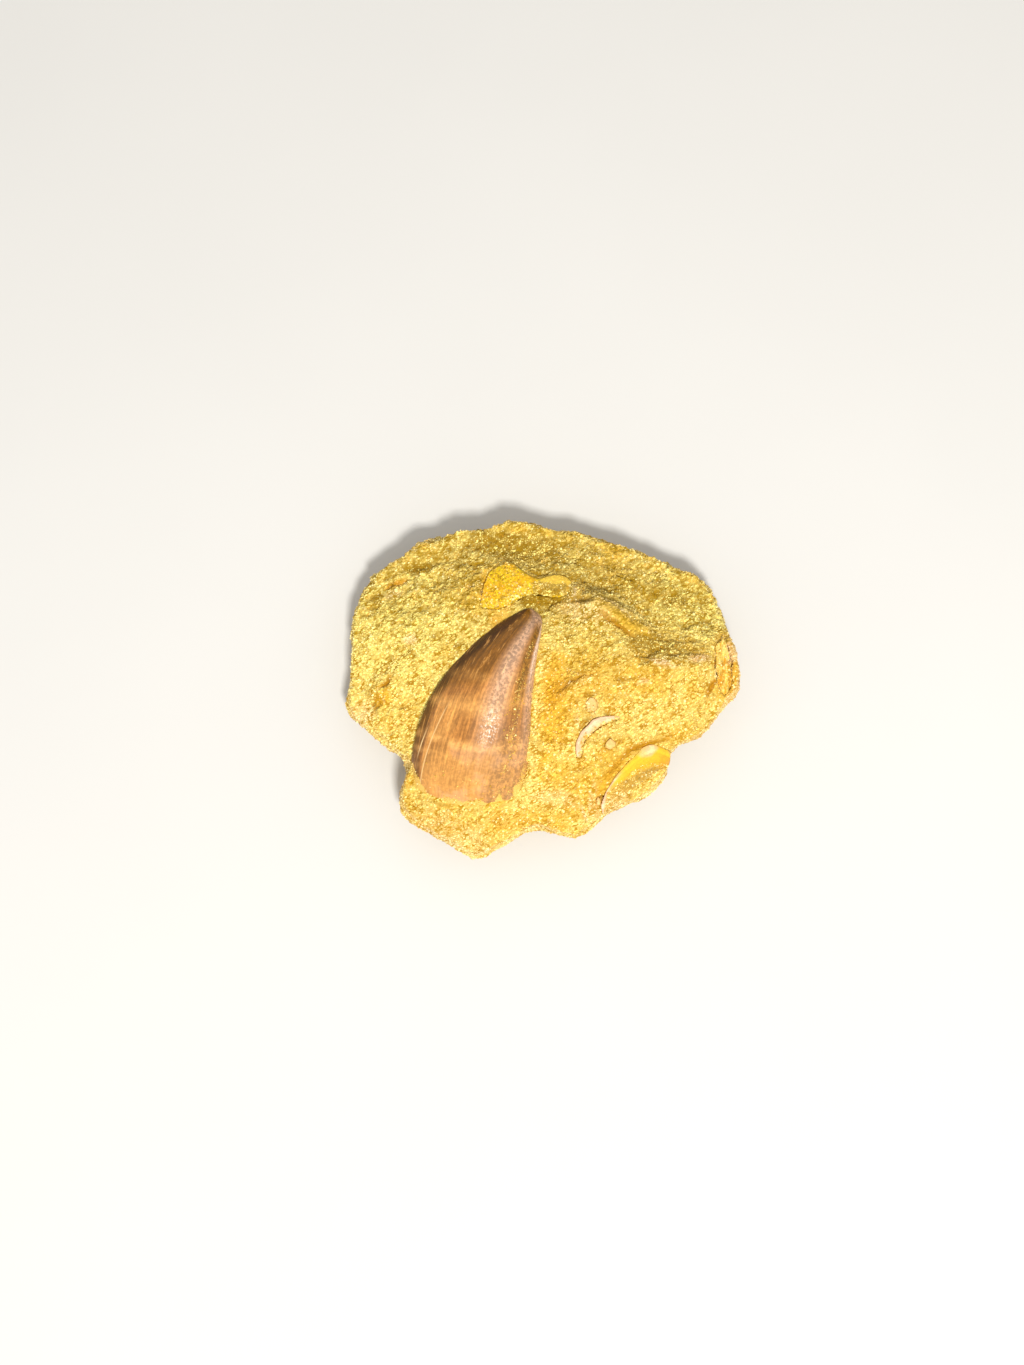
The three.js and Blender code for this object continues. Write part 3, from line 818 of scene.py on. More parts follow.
def enamel_material(look):
    """Satin brown enamel: dark tip, orange base, growth lines, streaks, worn ridge, sand.

    The ridge's pale colour is partly a painted sheen, the glints are painted highlights, and the
    left edge is darkened partly with painted shade.
    """
    material, graph, shader, place = new_material("tooth enamel")
    across, along, turn, wide = map(graph.attribute, ("across", "along", "turn", "wide"))

    def drawn_noise(around, lengthways, layer, detail, roughness=0.5):
        """Noise with so many bumps around the crown and along it."""
        at = graph.combined(turn * around, along * lengthways, layer)
        return graph.noise(at, 1.0, detail, roughness)

    def patch(middle, width, low, high, strength):
        """A lengthways patch that fades in between two places along the crown."""
        return across.hump(middle, width) * strength * frayed.fit(low, high)

    streak = drawn_noise(26.0, 2.6, 0.0, 5.0, 0.8)
    hair = drawn_noise(60.0, 5.0, 3.0, 3.0, 0.7)
    wide_streak = drawn_noise(9.0, 2.2, 6.0, 3.0)
    cloud = drawn_noise(5.0, 9.0, 9.0, 4.0, 0.6)
    even_place = graph.combined(turn.centred() * wide * 44.0, along * 10.0)
    short_streak = graph.noise(even_place, 1.0, 3.0, 0.7, distortion=0.4)
    speck = graph.noise(place, 0.62, roughness=0.6)
    sparkle = graph.noise(place, 0.36, roughness=0.6)
    frayed = along + streak.centred() * 0.22

    # Growth follows arcs that sag in the middle; the dark reaches further down on the left.
    # The left flank and its edge are darkened partly with painted shade.
    arc = along + across * across * -0.05
    tilt = across * along.fit(0.4, 0.52, -0.03, -0.16)
    level = arc + cloud.centred() * 0.16 + tilt + wide_streak.centred() * 0.14
    dark = graph.ramp(level, DARKNESS)
    dark = dark - level.hump(0.31, 0.07) * across.fit(-0.3, -0.6, 0.0, 0.3)
    flank = across + short_streak.centred() * 0.04
    dark = graph.largest(dark, flank.fit(-0.76, -0.9))
    wider = flank - along.fit(0.42, 0.76, 0.0, 0.34)
    edge = wider.fit(-0.74, -1.02) * along.fit(0.2, 0.5, 0.4, 1.0)
    tone = graph.blend(dark * 2.0, look.base, look.middle)
    tone = graph.coated(tone, (dark.fit(0.45, 1.0), look.tip), (edge, look.edge))

    # Lengthways streaks are fainter near the root, and the growth lines cross them.
    tone = graph.shade(tone, cloud.fit(0.32, 0.68, 0.88, 1.1))
    marked = along.fit(0.08, 0.34, 0.35, 1.0)
    for lines, low, high in ((streak, -0.26, 0.24), (hair, -0.2, 0.2), (short_streak, -0.2, 0.22)):
        tone = graph.shade(tone, lines.fit(0.34, 0.66, low, high) * marked + 1.0)
    pale = short_streak.fit(0.56, 0.68) * dark.fit(0.5, 0.95, 0.0, 0.5)
    tone = graph.blend(pale, tone, look.growth)
    bent = arc + cloud.centred() * 0.06
    faded, cut = cloud.fit(0.38, 0.58, 0.2, 1.0), short_streak.fit(0.36, 0.6, 0.5, 1.0)
    for at, width, strength in GROWTH_LINES:
        tone = graph.blend(bent.hump(at, width) * strength * faded * cut, tone, look.growth)

    # The ridge, the strip beyond the groove and the tip are worn and specked; their pale colour
    # is partly a painted sheen.
    groove = patch(GROOVE, 0.3, 0.3, 0.5, 0.9)
    ridge = patch(RIDGE, 0.38, 0.14, 0.4, 0.85)
    by_tip = across.fit(-0.14, 0.12) * frayed.fit(0.7, 0.86, 0.0, 0.95)
    worn = graph.largest(ridge, by_tip, patch(0.86, 0.2, 0.2, 0.4, 0.95))
    worn = worn * streak.fit(0.3, 0.6, 0.6, 1.0)
    tone = graph.coated(tone, (groove, look.groove), (worn, look.worn))
    low_right = across.fit(0.05, 0.5) * along.fit(0.42, 0.3)
    rough_part = graph.largest(worn, low_right * 0.6, groove, 0.25)
    tone = graph.shade(tone, speck.fit(0.38, 0.62, -0.5, 0.34) * rough_part + 1.0)
    tone = graph.blend(low_right * 0.12, tone, look.worn)
    tone = graph.shade(tone, 1.0 - low_right * 0.2)
    blotch = cloud.fit(0.46, 0.6, 0.0, 0.3) * along.fit(0.34, 0.2) * across.fit(-0.7, -0.4)

    scratch = streak.fit(0.63, 0.69, 0.0, 0.6) * along.fit(0.12, 0.2)
    path = across - along * SCRATCH_LEAN
    long_scratch = path.hump(-0.91, 0.014) * along.fit(0.42, 0.36) * 0.8
    side_scratch = path.hump(-1.04, 0.016) * along.hump(0.27, 0.07)
    scratch = graph.largest(scratch, long_scratch, side_scratch)
    # Painted highlights: glints on the ridge and a pale shine along the strip.
    shine = across.hump(STRIP, 0.14) * along.hump(0.62, 0.24)
    glint = graph.largest(across.hump(RIDGE, 0.22) * along.hump(0.325, 0.08), shine * 0.8)
    amount = graph.attribute("grit")
    dust = use_group(graph, "Clinging sand", {"Place": place, "Amount": amount})["Mask"]
    tone = graph.coated(
        tone,
        (blotch, look.worn),
        (scratch, look.scratch),
        (shine * streak.fit(0.35, 0.6, 0.1, 0.5), look.glint),
        (sparkle.fit(0.53, 0.62, 0.0, 0.9) * glint, look.glint),
        (dust, look.dust),
    )
    graph.feed(shader.inputs["Base Color"], tone)

    rough = graph.math("ADD", streak.fit(0.2, 0.75, 0.3, 0.44) + dust * 0.4, edge * 0.3, clamp=True)
    graph.feed(shader.inputs["Roughness"], rough)
    shader.inputs["Specular IOR Level"].default_value = 0.45
    shader.inputs["Specular Tint"].default_value = (1.0, 0.86, 0.7, 1.0)
    fine = streak + dust * 0.9 + short_streak * 1.1 + speck * rough_part * 1.5
    add_bump(graph, shader, fine, 0.07 * MM, 0.9)
    return material


class FOSSIL_OT_tooth(bpy.types.Operator):
    """Make the tooth crown with its enamel"""

    bl_idname = "fossil.tooth"
    bl_label = "Tooth"

    def execute(self, context):
        look = context.scene.fossil_tooth
        rings, values, middle = crown_rings(look.rings, look.sides, look.striation / MM)
        shift = source_shift()
        root_way, tip_way = middle[0] - middle[4], middle[-1] - middle[-9]
        first = middle[0] + root_way / np.linalg.norm(root_way) * ROOT_DOME
        last = middle[-1] + tip_way / np.linalg.norm(tip_way) * TIP_DOME
        mesh = closed_loft("tooth_crown", rings * MM + shift, first * MM + shift, last * MM + shift)
        for name, last_value in (("across", 0), ("along", 1), ("turn", 0.5), ("wide", 0)):
            set_values(mesh, name, np.concatenate([[0], np.ravel(values[name]), [last_value]]))
        mesh.materials.append(enamel_material(look))
        finish_piece(new_object("tooth_crown", mesh), "tooth_enamel", "tooth")
        return {"FINISHED"}


# ---------------------------------------------------------------- bone and shell


def skin_tree(name, build_height):
    """A tree that moves a skin along its normals by a height in metres and stores the height.

    build_height gets the graph, the place in millimetres and the tree's inputs, and gives the
    height and the finer part of it that the colour follows.
    """
    tree, graph, given = geometry_tree(name, ("Depth", "Second depth", "Third depth"))
    height, fine = build_height(graph, graph.place(), given)
    free = graph.stored("freedom")
    held = graph.store(given["Geometry"], "height", height * free)
    held = graph.store(held, "relief", fine * free)
    way = graph.take("GeometryNodeInputNormal")
    moved = graph.moved(held, way, graph.stored("height"))
    graph.finish_geometry(moved, given["Finish"], soft=True)
    return tree


def bone_height(graph, place, given):
    """Pores and grit; the third depth gives long ridges along the fragment."""
    swell = graph.noise(place, 2.0, detail=4.0, roughness=0.6).centred()
    pits = graph.cells(place, 0.7).fit(0.36, 0.1) * -1.0
    grit = graph.noise(place, 0.5).centred()
    ridges = graph.noise(graph.stretched(place, 0, (1.0, 0.14, 1.0)), 0.8, detail=3.0).centred()
    pitted = swell * 2.2 + pits * 0.5 + grit * 1.1
    height = pitted * given["Depth"] + ridges * given["Third depth"]
    return height, height


def shell_height(graph, place, given):
    """Fine growth lines and chips."""
    bent = graph.stretched(place, 0, (1.0, 1.0, 3.2))
    lines = graph.noise(bent, 0.8, distortion=0.4).centred()
    chips = graph.noise(place, 1.5, detail=3.0, roughness=0.6).centred()
    height = (lines + chips * 2.4) * given["Depth"]
    return height, height


def bone_material(look):
    """Matt golden fossil bone: pores, rusty stains, paler crests, long streaks in places.

    The paler crests are partly a painted highlight, and the darker pits and crumb gaps are
    painted shade.
    """
    material, graph, shader, place = new_material("fossil bone")
    relief, streaked = relief_of(graph), graph.attribute("streaked")
    stain = graph.noise(place, 1.8, detail=4.0, roughness=0.65)
    drawn = graph.stretched(place, 4, (1.0, 0.12, 1.0))
    grain = graph.noise(drawn, 0.55, detail=4.0, roughness=0.7)
    crumbs = graph.cells(place, CRUMB)
    tone = graph.coated(
        look.golden,
        (stain.fit(0.42, 0.62), look.rusty),
        (graph.attribute("smooth_knob") * 0.7, look.knob),
        (grain.fit(0.44, 0.56, 0.3, 0.9) * streaked, look.worn),
        (grain.fit(0.52, 0.45, 0.0, 0.8) * streaked, look.streak),
        # Painted highlight, with wear: paler crests.
        (relief.fit(0.04, 0.2, 0.0, 0.6), look.worn),
        (graph.attribute("sandy"), look.sandy),
    )
    # Painted shade: darker in pits and in the gaps between crumbs.
    tone = graph.shade(tone, relief.fit(-0.2, 0.04, 0.62, 1.05))
    tone = graph.shade(tone, crumbs.fit(0.5, 0.15, 0.74, 1.08))
    graph.feed(shader.inputs["Base Color"], tone)
    graph.feed(shader.inputs["Roughness"], stain.fit(0.3, 0.7, 0.55, 0.78))
    shader.inputs["Specular IOR Level"].default_value = 0.2
    add_bump(graph, shader, crumbs, -0.14 * MM, 0.7)
    return material


def shell_material(look):
    """Chalky shell: pale growth lines, a pinkish tinge, honey and amber stains."""
    material, graph, shader, place = new_material("fossil shell")
    stain = graph.noise(place, 1.6, detail=3.0, roughness=0.6)
    fine = graph.noise(place, 0.3, detail=3.0, roughness=0.7)
    from_edge = graph.combined(graph.attribute("offset") * 5.0, 0.0)
    lines = graph.noise(from_edge, 1.0, distortion=0.3)
    tone = graph.coated(
        look.chalk,
        (stain.fit(0.38, 0.54), look.blush),
        (graph.attribute("stained"), look.honey),
        (graph.attribute("rusty"), look.amber),
        (graph.attribute("sandy"), look.sandy),
    )
    tone = graph.shade(tone, lines.fit(0.34, 0.62, 0.86, 1.04))
    # Painted shade: darker where the skin lies low.
    tone = graph.shade(tone, relief_of(graph).fit(-0.14, 0.06, 0.78, 1.04))
    tone = graph.shade(tone, fine.fit(0.3, 0.7, 0.86, 1.08))
    graph.feed(shader.inputs["Base Color"], tone)
    graph.feed(shader.inputs["Roughness"], fine.fit(0.3, 0.7, 0.42, 0.66))
    add_bump(graph, shader, fine, 0.06 * MM, 0.6)
    return material


# Bone fragments, in millimetres in the part's own source: outline in plan, a middle from which
# the outline is seen whole, height and slope of the top, how far it is crowned, and depth.
WING = {
    "outline": [
        (-6.7, 23.5), (-8.2, 22.7), (-9.9, 21.5), (-10.5, 19.8), (-11.0, 17.8), (-11.5, 15.9),
        (-11.6, 14.5), (-9.8, 14.3), (-7.8, 14.4), (-5.9, 15.2), (-4.3, 16.3), (-2.4, 17.2),
        (-0.6, 17.1), (0.8, 16.8), (2.8, 16.4), (4.5, 16.8), (5.5, 18.0), (5.6, 19.5),
        (4.7, 20.5), (3.3, 21.0), (1.8, 20.9), (0.5, 20.4), (-0.6, 20.2), (-1.7, 20.4),
        (-3.1, 21.3), (-4.2, 22.3), (-5.3, 23.2),
    ],
    "middle": (-2.4, 18.7), "top": 17.8, "slope": (0.02, -0.18), "crown": 0.75, "depth": 3.2,
}
SPIKE = {
    "outline": [
        (33.6, 9.1), (34.4, 7.9), (34.7, 6.3), (35.3, 5.0), (35.1, 3.0), (35.3, 1.0), (34.7, -0.8),
        (33.7, -1.9), (33.0, -0.6), (32.3, 0.6), (32.5, 2.2), (31.8, 4.0), (32.2, 5.6), (32.1, 7.2),
        (32.9, 8.2),
    ],
    "middle": (33.7, 3.6), "top": 16.3, "slope": (-0.42, 0.02), "crown": 0.35, "depth": 3.8,
}
# Levels of a fragment from its top down: share of the outline, drop in crowns and in depths.
FRAGMENT_LEVELS = [
    (0.25, 0.05, 0), (0.5, 0.2, 0), (0.75, 0.45, 0), (0.9, 0.75, 0), (1.0, 1.3, 0),
    (0.98, 1.3, 0.5), (0.7, 0, 1.0),
]
FRAGMENT_SIDES = 96


def fragment_mesh(name, outline, middle, top, slope, crown, depth, shift):
    """A flat fragment with a crowned top, as a closed mesh in metres."""
    far = np.array(outline) - middle
    reach = np.hypot(far[:, 0], far[:, 1])
    bearing = np.arctan2(far[:, 1], far[:, 0])
    angle = 2 * np.pi * np.arange(FRAGMENT_SIDES) / FRAGMENT_SIDES
    x, y = (
        np.interp(angle, bearing, reach * part(bearing), period=2 * np.pi)
        for part in (np.cos, np.sin)
    )
    rings = np.empty((len(FRAGMENT_LEVELS), FRAGMENT_SIDES, 3))
    for ring, (part, crowns, depths) in zip(rings, FRAGMENT_LEVELS):
        ring[:, 0], ring[:, 1] = x * part, y * part
        ring[:, 2] = ring[:, :2] @ slope - crowns * crown - depths * depth
    rings += (*middle, top)
    ends = np.array([(*middle, top), (*middle, top - depth)])
    rings, ends = rings * MM + shift, ends * MM + shift
    return closed_loft(name, rings[::-1], ends[1], ends[0])


def plan_offset(points, path):
    """Each point's signed distance in plan to the right of a path, and its place along it."""
    distance, along = by_path(points, path)
    corner = np.array([p[:2] for p in path], float)
    place = along * (len(path) - 1)
    i = np.minimum(place.astype(int), len(path) - 2)
    run = corner[i + 1] - corner[i]
    off = points[:, :2] - corner[i]
    return distance * np.sign(off[:, 0] * run[:, 1] - off[:, 1] * run[:, 0]), along


class FOSSIL_OT_bones(bpy.types.Operator):
    """Make the bone fragment and the bone splinter"""

    bl_idname = "fossil.bones"
    bl_label = "Bones"

    def execute(self, context):
        look = context.scene.fossil_bone
        tree, material = skin_tree("Pitted bone", bone_height), bone_material(look)
        shift = source_shift()
        for name, node, shape, ridges in (
            ("bone_wing", "bone_fragment", WING, 0.0),
            ("bone_spike", "bone_splinter", SPIKE, look.ridge_depth),
        ):
            obj = new_object(name, fragment_mesh(name, shift=shift, **shape))
            fine_skin(obj, look.cell, 3)
            points = places_of(obj.data, shift)
            x, y = points[:, 0], points[:, 1]
            on_wing = x < 10
            knob = smooth((x + 2.0) / 3.0) * smooth((y - 16.6) / 1.2) * on_wing
            polished = knob > 0.02
            ragged = 0.5 * ripples_at(points, 0.8, 6)
            below = smooth((19.7 + 0.6 * ragged - y) / 0.9)
            sandy = np.maximum(smooth((-2.6 - x) / 3.4) * 0.7, below)
            cover = np.where(polished, sandy - (1 - sandy), sandy)
            values = {
                "cover": np.where(on_wing, cover, 0.4 + ragged),
                "sandy": 0.8 * np.clip(cover, 0, 1) * polished,
                "freedom": 1 - 0.6 * knob,
                "smooth_knob": knob,
                "streaked": np.full(len(x), float(ridges > 0)),
            }
            set_all(obj.data, values)
            depths = {"Depth": look.pit_depth, "Third depth": ridges}
            run_nodes(obj, tree, {**depths, "Finish": material})
            finish_piece(obj, "bone", node)
        return {"FINISHED"}


# The two long edges of each shell's visible band, in millimetres in the part's own source.
BLADE_EDGES = (
    [(11.0, -23.4, 13.9), (11.1, -22.2, 15.3), (11.1, -21.2, 16.2), (11.5, -20.0, 16.8),
     (12.2, -18.8, 17.3), (13.1, -17.5, 17.6), (14.1, -16.2, 17.9), (15.2, -15.0, 18.2),
     (16.3, -13.9, 18.4), (17.4, -12.9, 18.4), (18.3, -11.9, 18.3), (19.6, -11.3, 18.0),
     (20.8, -11.3, 17.4), (22.0, -11.6, 16.6), (23.1, -12.0, 15.7), (23.7, -12.5, 15.1)],
    [(11.4, -23.4, 13.8), (11.5, -22.2, 15.3), (11.6, -21.1, 16.2), (12.0, -20.1, 16.8),
     (12.8, -19.1, 17.2), (13.7, -18.4, 17.3), (15.0, -17.6, 17.2), (16.1, -17.0, 17.1),
     (17.4, -16.0, 17.0), (18.7, -15.4, 16.7), (19.9, -14.9, 16.4), (21.0, -14.6, 15.9),
     (21.9, -14.6, 15.2), (22.6, -14.7, 14.6), (23.1, -14.8, 14.2), (23.5, -14.3, 14.1)],
)
CRESCENT_EDGES = (
    [(6.2, -13.9, 20.0), (6.0, -12.5, 20.4), (6.1, -11.2, 20.6), (6.5, -10.3, 20.6),
     (7.0, -9.3, 20.6), (7.8, -8.5, 20.6), (8.5, -7.8, 20.7), (9.0, -7.2, 20.8),
     (9.9, -6.8, 20.9), (11.0, -6.5, 20.8), (12.1, -6.4, 20.6), (13.0, -6.3, 20.3),
     (14.0, -6.4, 19.9)],
    [(6.9, -13.9, 19.8), (7.3, -12.5, 19.7), (7.4, -11.4, 19.7), (7.8, -10.7, 19.8),
     (8.4, -10.0, 19.9), (9.1, -9.3, 19.9), (9.8, -8.7, 20.0), (10.5, -8.2, 20.0),
     (11.2, -7.8, 20.0), (12.2, -7.4, 19.9), (13.0, -7.0, 19.8), (13.6, -6.8, 19.7),
     (14.1, -6.6, 19.7)],
)
# Small scraps of shell: outline in plan, middle and height of the top.
SHELL_SCRAPS = [
    ([(12.3, -10.4), (11.5, -11.2), (11.3, -12.0), (12.2, -12.5), (13.2, -11.9), (13.3, -11.2)],
     (12.3, -11.4), 20.3),
    ([(8.6, -3.0), (7.9, -4.0), (8.0, -5.4), (9.0, -5.8), (9.9, -5.2), (9.9, -4.0), (9.4, -3.2)],
     (8.9, -4.4), 21.5),
    ([(10.1, -20.6), (9.8, -21.4), (10.0, -22.2), (10.5, -22.1), (10.6, -21.2)],
     (10.2, -21.4), 16.8),
]
BAND_RINGS, BAND_SIDES = 100, 14
BLADE_PATCH = (19.5, -12.3)


def band_mesh(name, edges, bulge, thickness, shift):
    """A closed strip between two edges, which bulges between them by a share of its width."""
    t = np.linspace(0, 1, BAND_RINGS)
    first, second = (through_stations(edge, t)[:, None] for edge in edges)
    s = np.linspace(0, 1, BAND_SIDES)
    top = first + s[:, None] * (second - first)
    top[..., 2] += bulge * np.sin(np.pi * s) * np.linalg.norm(second - first, axis=2)
    under = top[:, ::-1] - (0, 0, thickness)
    rings = np.concatenate([top, under], axis=1)
    middles = rings.mean(axis=1)
    return closed_loft(name, rings * MM + shift, middles[0] * MM + shift, middles[-1] * MM + shift)


def band_place(points, edges):
    """Each point's place on a band in plan: 0 to 1 from its first edge to its second, and along."""
    first, second = (np.array(edge)[:, :2] for edge in edges)
    off, along = plan_offset(points, (first + second) / 2)
    half = np.linalg.norm(second - first, axis=1) / 2
    return 0.5 + 0.5 * off / np.interp(along, np.linspace(0, 1, len(half)), half), along


def add_mesh(obj, mesh):
    """Adds the mesh to the object's own, and turns all faces outwards."""
    solid = bmesh.new()
    solid.from_mesh(obj.data)
    solid.from_mesh(mesh)
    bmesh.ops.recalc_face_normals(solid, faces=solid.faces)
    solid.to_mesh(obj.data)
    solid.free()
    bpy.data.meshes.remove(mesh)


class FOSSIL_OT_shells(bpy.types.Operator):
    """Make the leaning shell and the crescent shell"""

    bl_idname = "fossil.shells"
    bl_label = "Shells"

    def execute(self, context):
        look = context.scene.fossil_shell
        tree, material = skin_tree("Chalky shell", shell_height), shell_material(look)
        shift = source_shift()

        blade = merged_copy("shell_blade", "shell_plate")
        add_mesh(blade, band_mesh("band", BLADE_EDGES, 0.1, 1.0, shift))
        fine_skin(blade, look.cell, 3)
        points = places_of(blade.data, shift)
        s, along = band_place(points, BLADE_EDGES)
        ragged = 0.3 * ripples_at(points, 0.9, 6)
        rim = bell(s - 0.12, 0.2) * smooth((0.46 - along) / 0.16)
        x, y = points[:, 0] - BLADE_PATCH[0], points[:, 1] - BLADE_PATCH[1]
        patch = np.hypot((x * 0.95 + y * 0.31) / 1.9, (y * 0.95 - x * 0.31) / 1.15)
        white = np.maximum(0.9 * rim, 0.75 * smooth((1.2 + ragged - patch) / 0.7))
        honey = smooth((s + 0.6 + 0.5 * ragged) / 0.75) * smooth((along - 0.14) / 0.2)
        end = smooth((along - 0.74) / 0.14) * smooth((s - 0.3) / 0.4)
        buried = np.clip((s - 0.86 + 0.6 * ragged) / 0.14, -1, 1)
        values = {
            "stained": honey * (1 - white),
            "rusty": (1 - white) * np.maximum(end, 0.5 * bell(s - 0.85, 0.22)),
            "sandy": smooth((s - 0.95) / 0.3),
            "cover": buried + 0.5 * smooth((along - 0.88) / 0.1),
        }
        self.finish(blade, ["shell_plate"], values, s, look, tree, material)

        band = band_mesh("shell_crescent", CRESCENT_EDGES, 0.12, 1.6, shift)
        crescent = new_object("shell_crescent", band)
        fine_skin(crescent, look.cell, 3)
        points = places_of(crescent.data, shift)
        s, along = band_place(points, CRESCENT_EDGES)
        ragged = 0.35 * ripples_at(points, 0.7, 4)
        buried = np.clip((s - 0.66 + ragged) / 0.3, -0.8, 0.9)
        values = {
            "stained": smooth((s - 0.4 + ragged) / 0.6) * 0.4,
            "rusty": np.zeros(len(s)),
            "sandy": np.zeros(len(s)),
            "cover": buried + 0.8 * smooth((0.12 - along) / 0.12),
        }
        self.finish(crescent, ["shell_rim"], values, s, look, tree, material)
        self.scraps(look, tree, material, shift)
        return {"FINISHED"}

    def scraps(self, look, tree, material, shift):
        """Small loose scraps of shell in the rock, in one piece."""
        scraps = new_object("shell_scraps", bpy.data.meshes.new("shell_scraps"))
        for outline, middle, top in SHELL_SCRAPS:
            scrap = fragment_mesh("scrap", outline, middle, top, (0.05, 0.1), 0.25, 1.2, shift)
            add_mesh(scraps, scrap)
        fine_skin(scraps, look.cell, 2)
        ragged = ripples_at(places_of(scraps.data, shift), 0.7, 5)
        none = np.zeros(len(ragged))
        values = {"stained": none + 0.5, "rusty": none, "sandy": none, "cover": 0.9 * ragged - 0.1}
        self.finish(scraps, [], values, none, look, tree, material)

    def finish(self, obj, nodes, values, s, look, tree, material):
        """Gives a shell its values for colour and sand, its uneven skin and its material."""
        set_all(obj.data, {**values, "freedom": np.ones(len(s)), "offset": s})
        run_nodes(obj, tree, {"Depth": look.line_depth, "Finish": material})
        finish_piece(obj, "shell", *nodes)


# ---------------------------------------------------------------- the rock

# Kinds of line and patch on the block's top: rise and half width in millimetres, and the
# strength of rust, chalk, dark (painted shade) and golden colour, and of bareness (no grains,
# smooth ground).
SEAM_VALUES = ("rust", "chalk", "dark", "gold", "bare")
SEAM_KINDS = {
    "crease": (-0.95, 0.24, 0, 0, 1.0, 0, 0.3),
    "wrinkle": (-0.6, 0.2, 0, 0, 0.75, 0, 0.3),
    "rusty": (-0.6, 0.24, 1.0, 0, 0.3, 0, 0.4),
    "ochre": (-0.3, 0.55, 0.3, 0, 0, 0.7, 0.6),
    "shade": (-0.4, 0.6, 0, 0, 0.5, 0, 0),
    "cavity": (-1.6, 0.45, 0, 0, 1.0, 0, 0.3),
    "chalk": (0.2, 0.26, 0, 0.9, 0, 0, 0.4),
    "fold": (0.5, 0.7, 0, 0.15, 0, 0, 0),
    "band": (0.5, 1.0, 0.1, 0, 0, 0.5, 1.0),
    "swell": (0.7, 0.9, 0, 0.15, 0, 0, 0.1),
    "bank": (1.5, 1.3, 0, 0, 0, 0, 0),
}
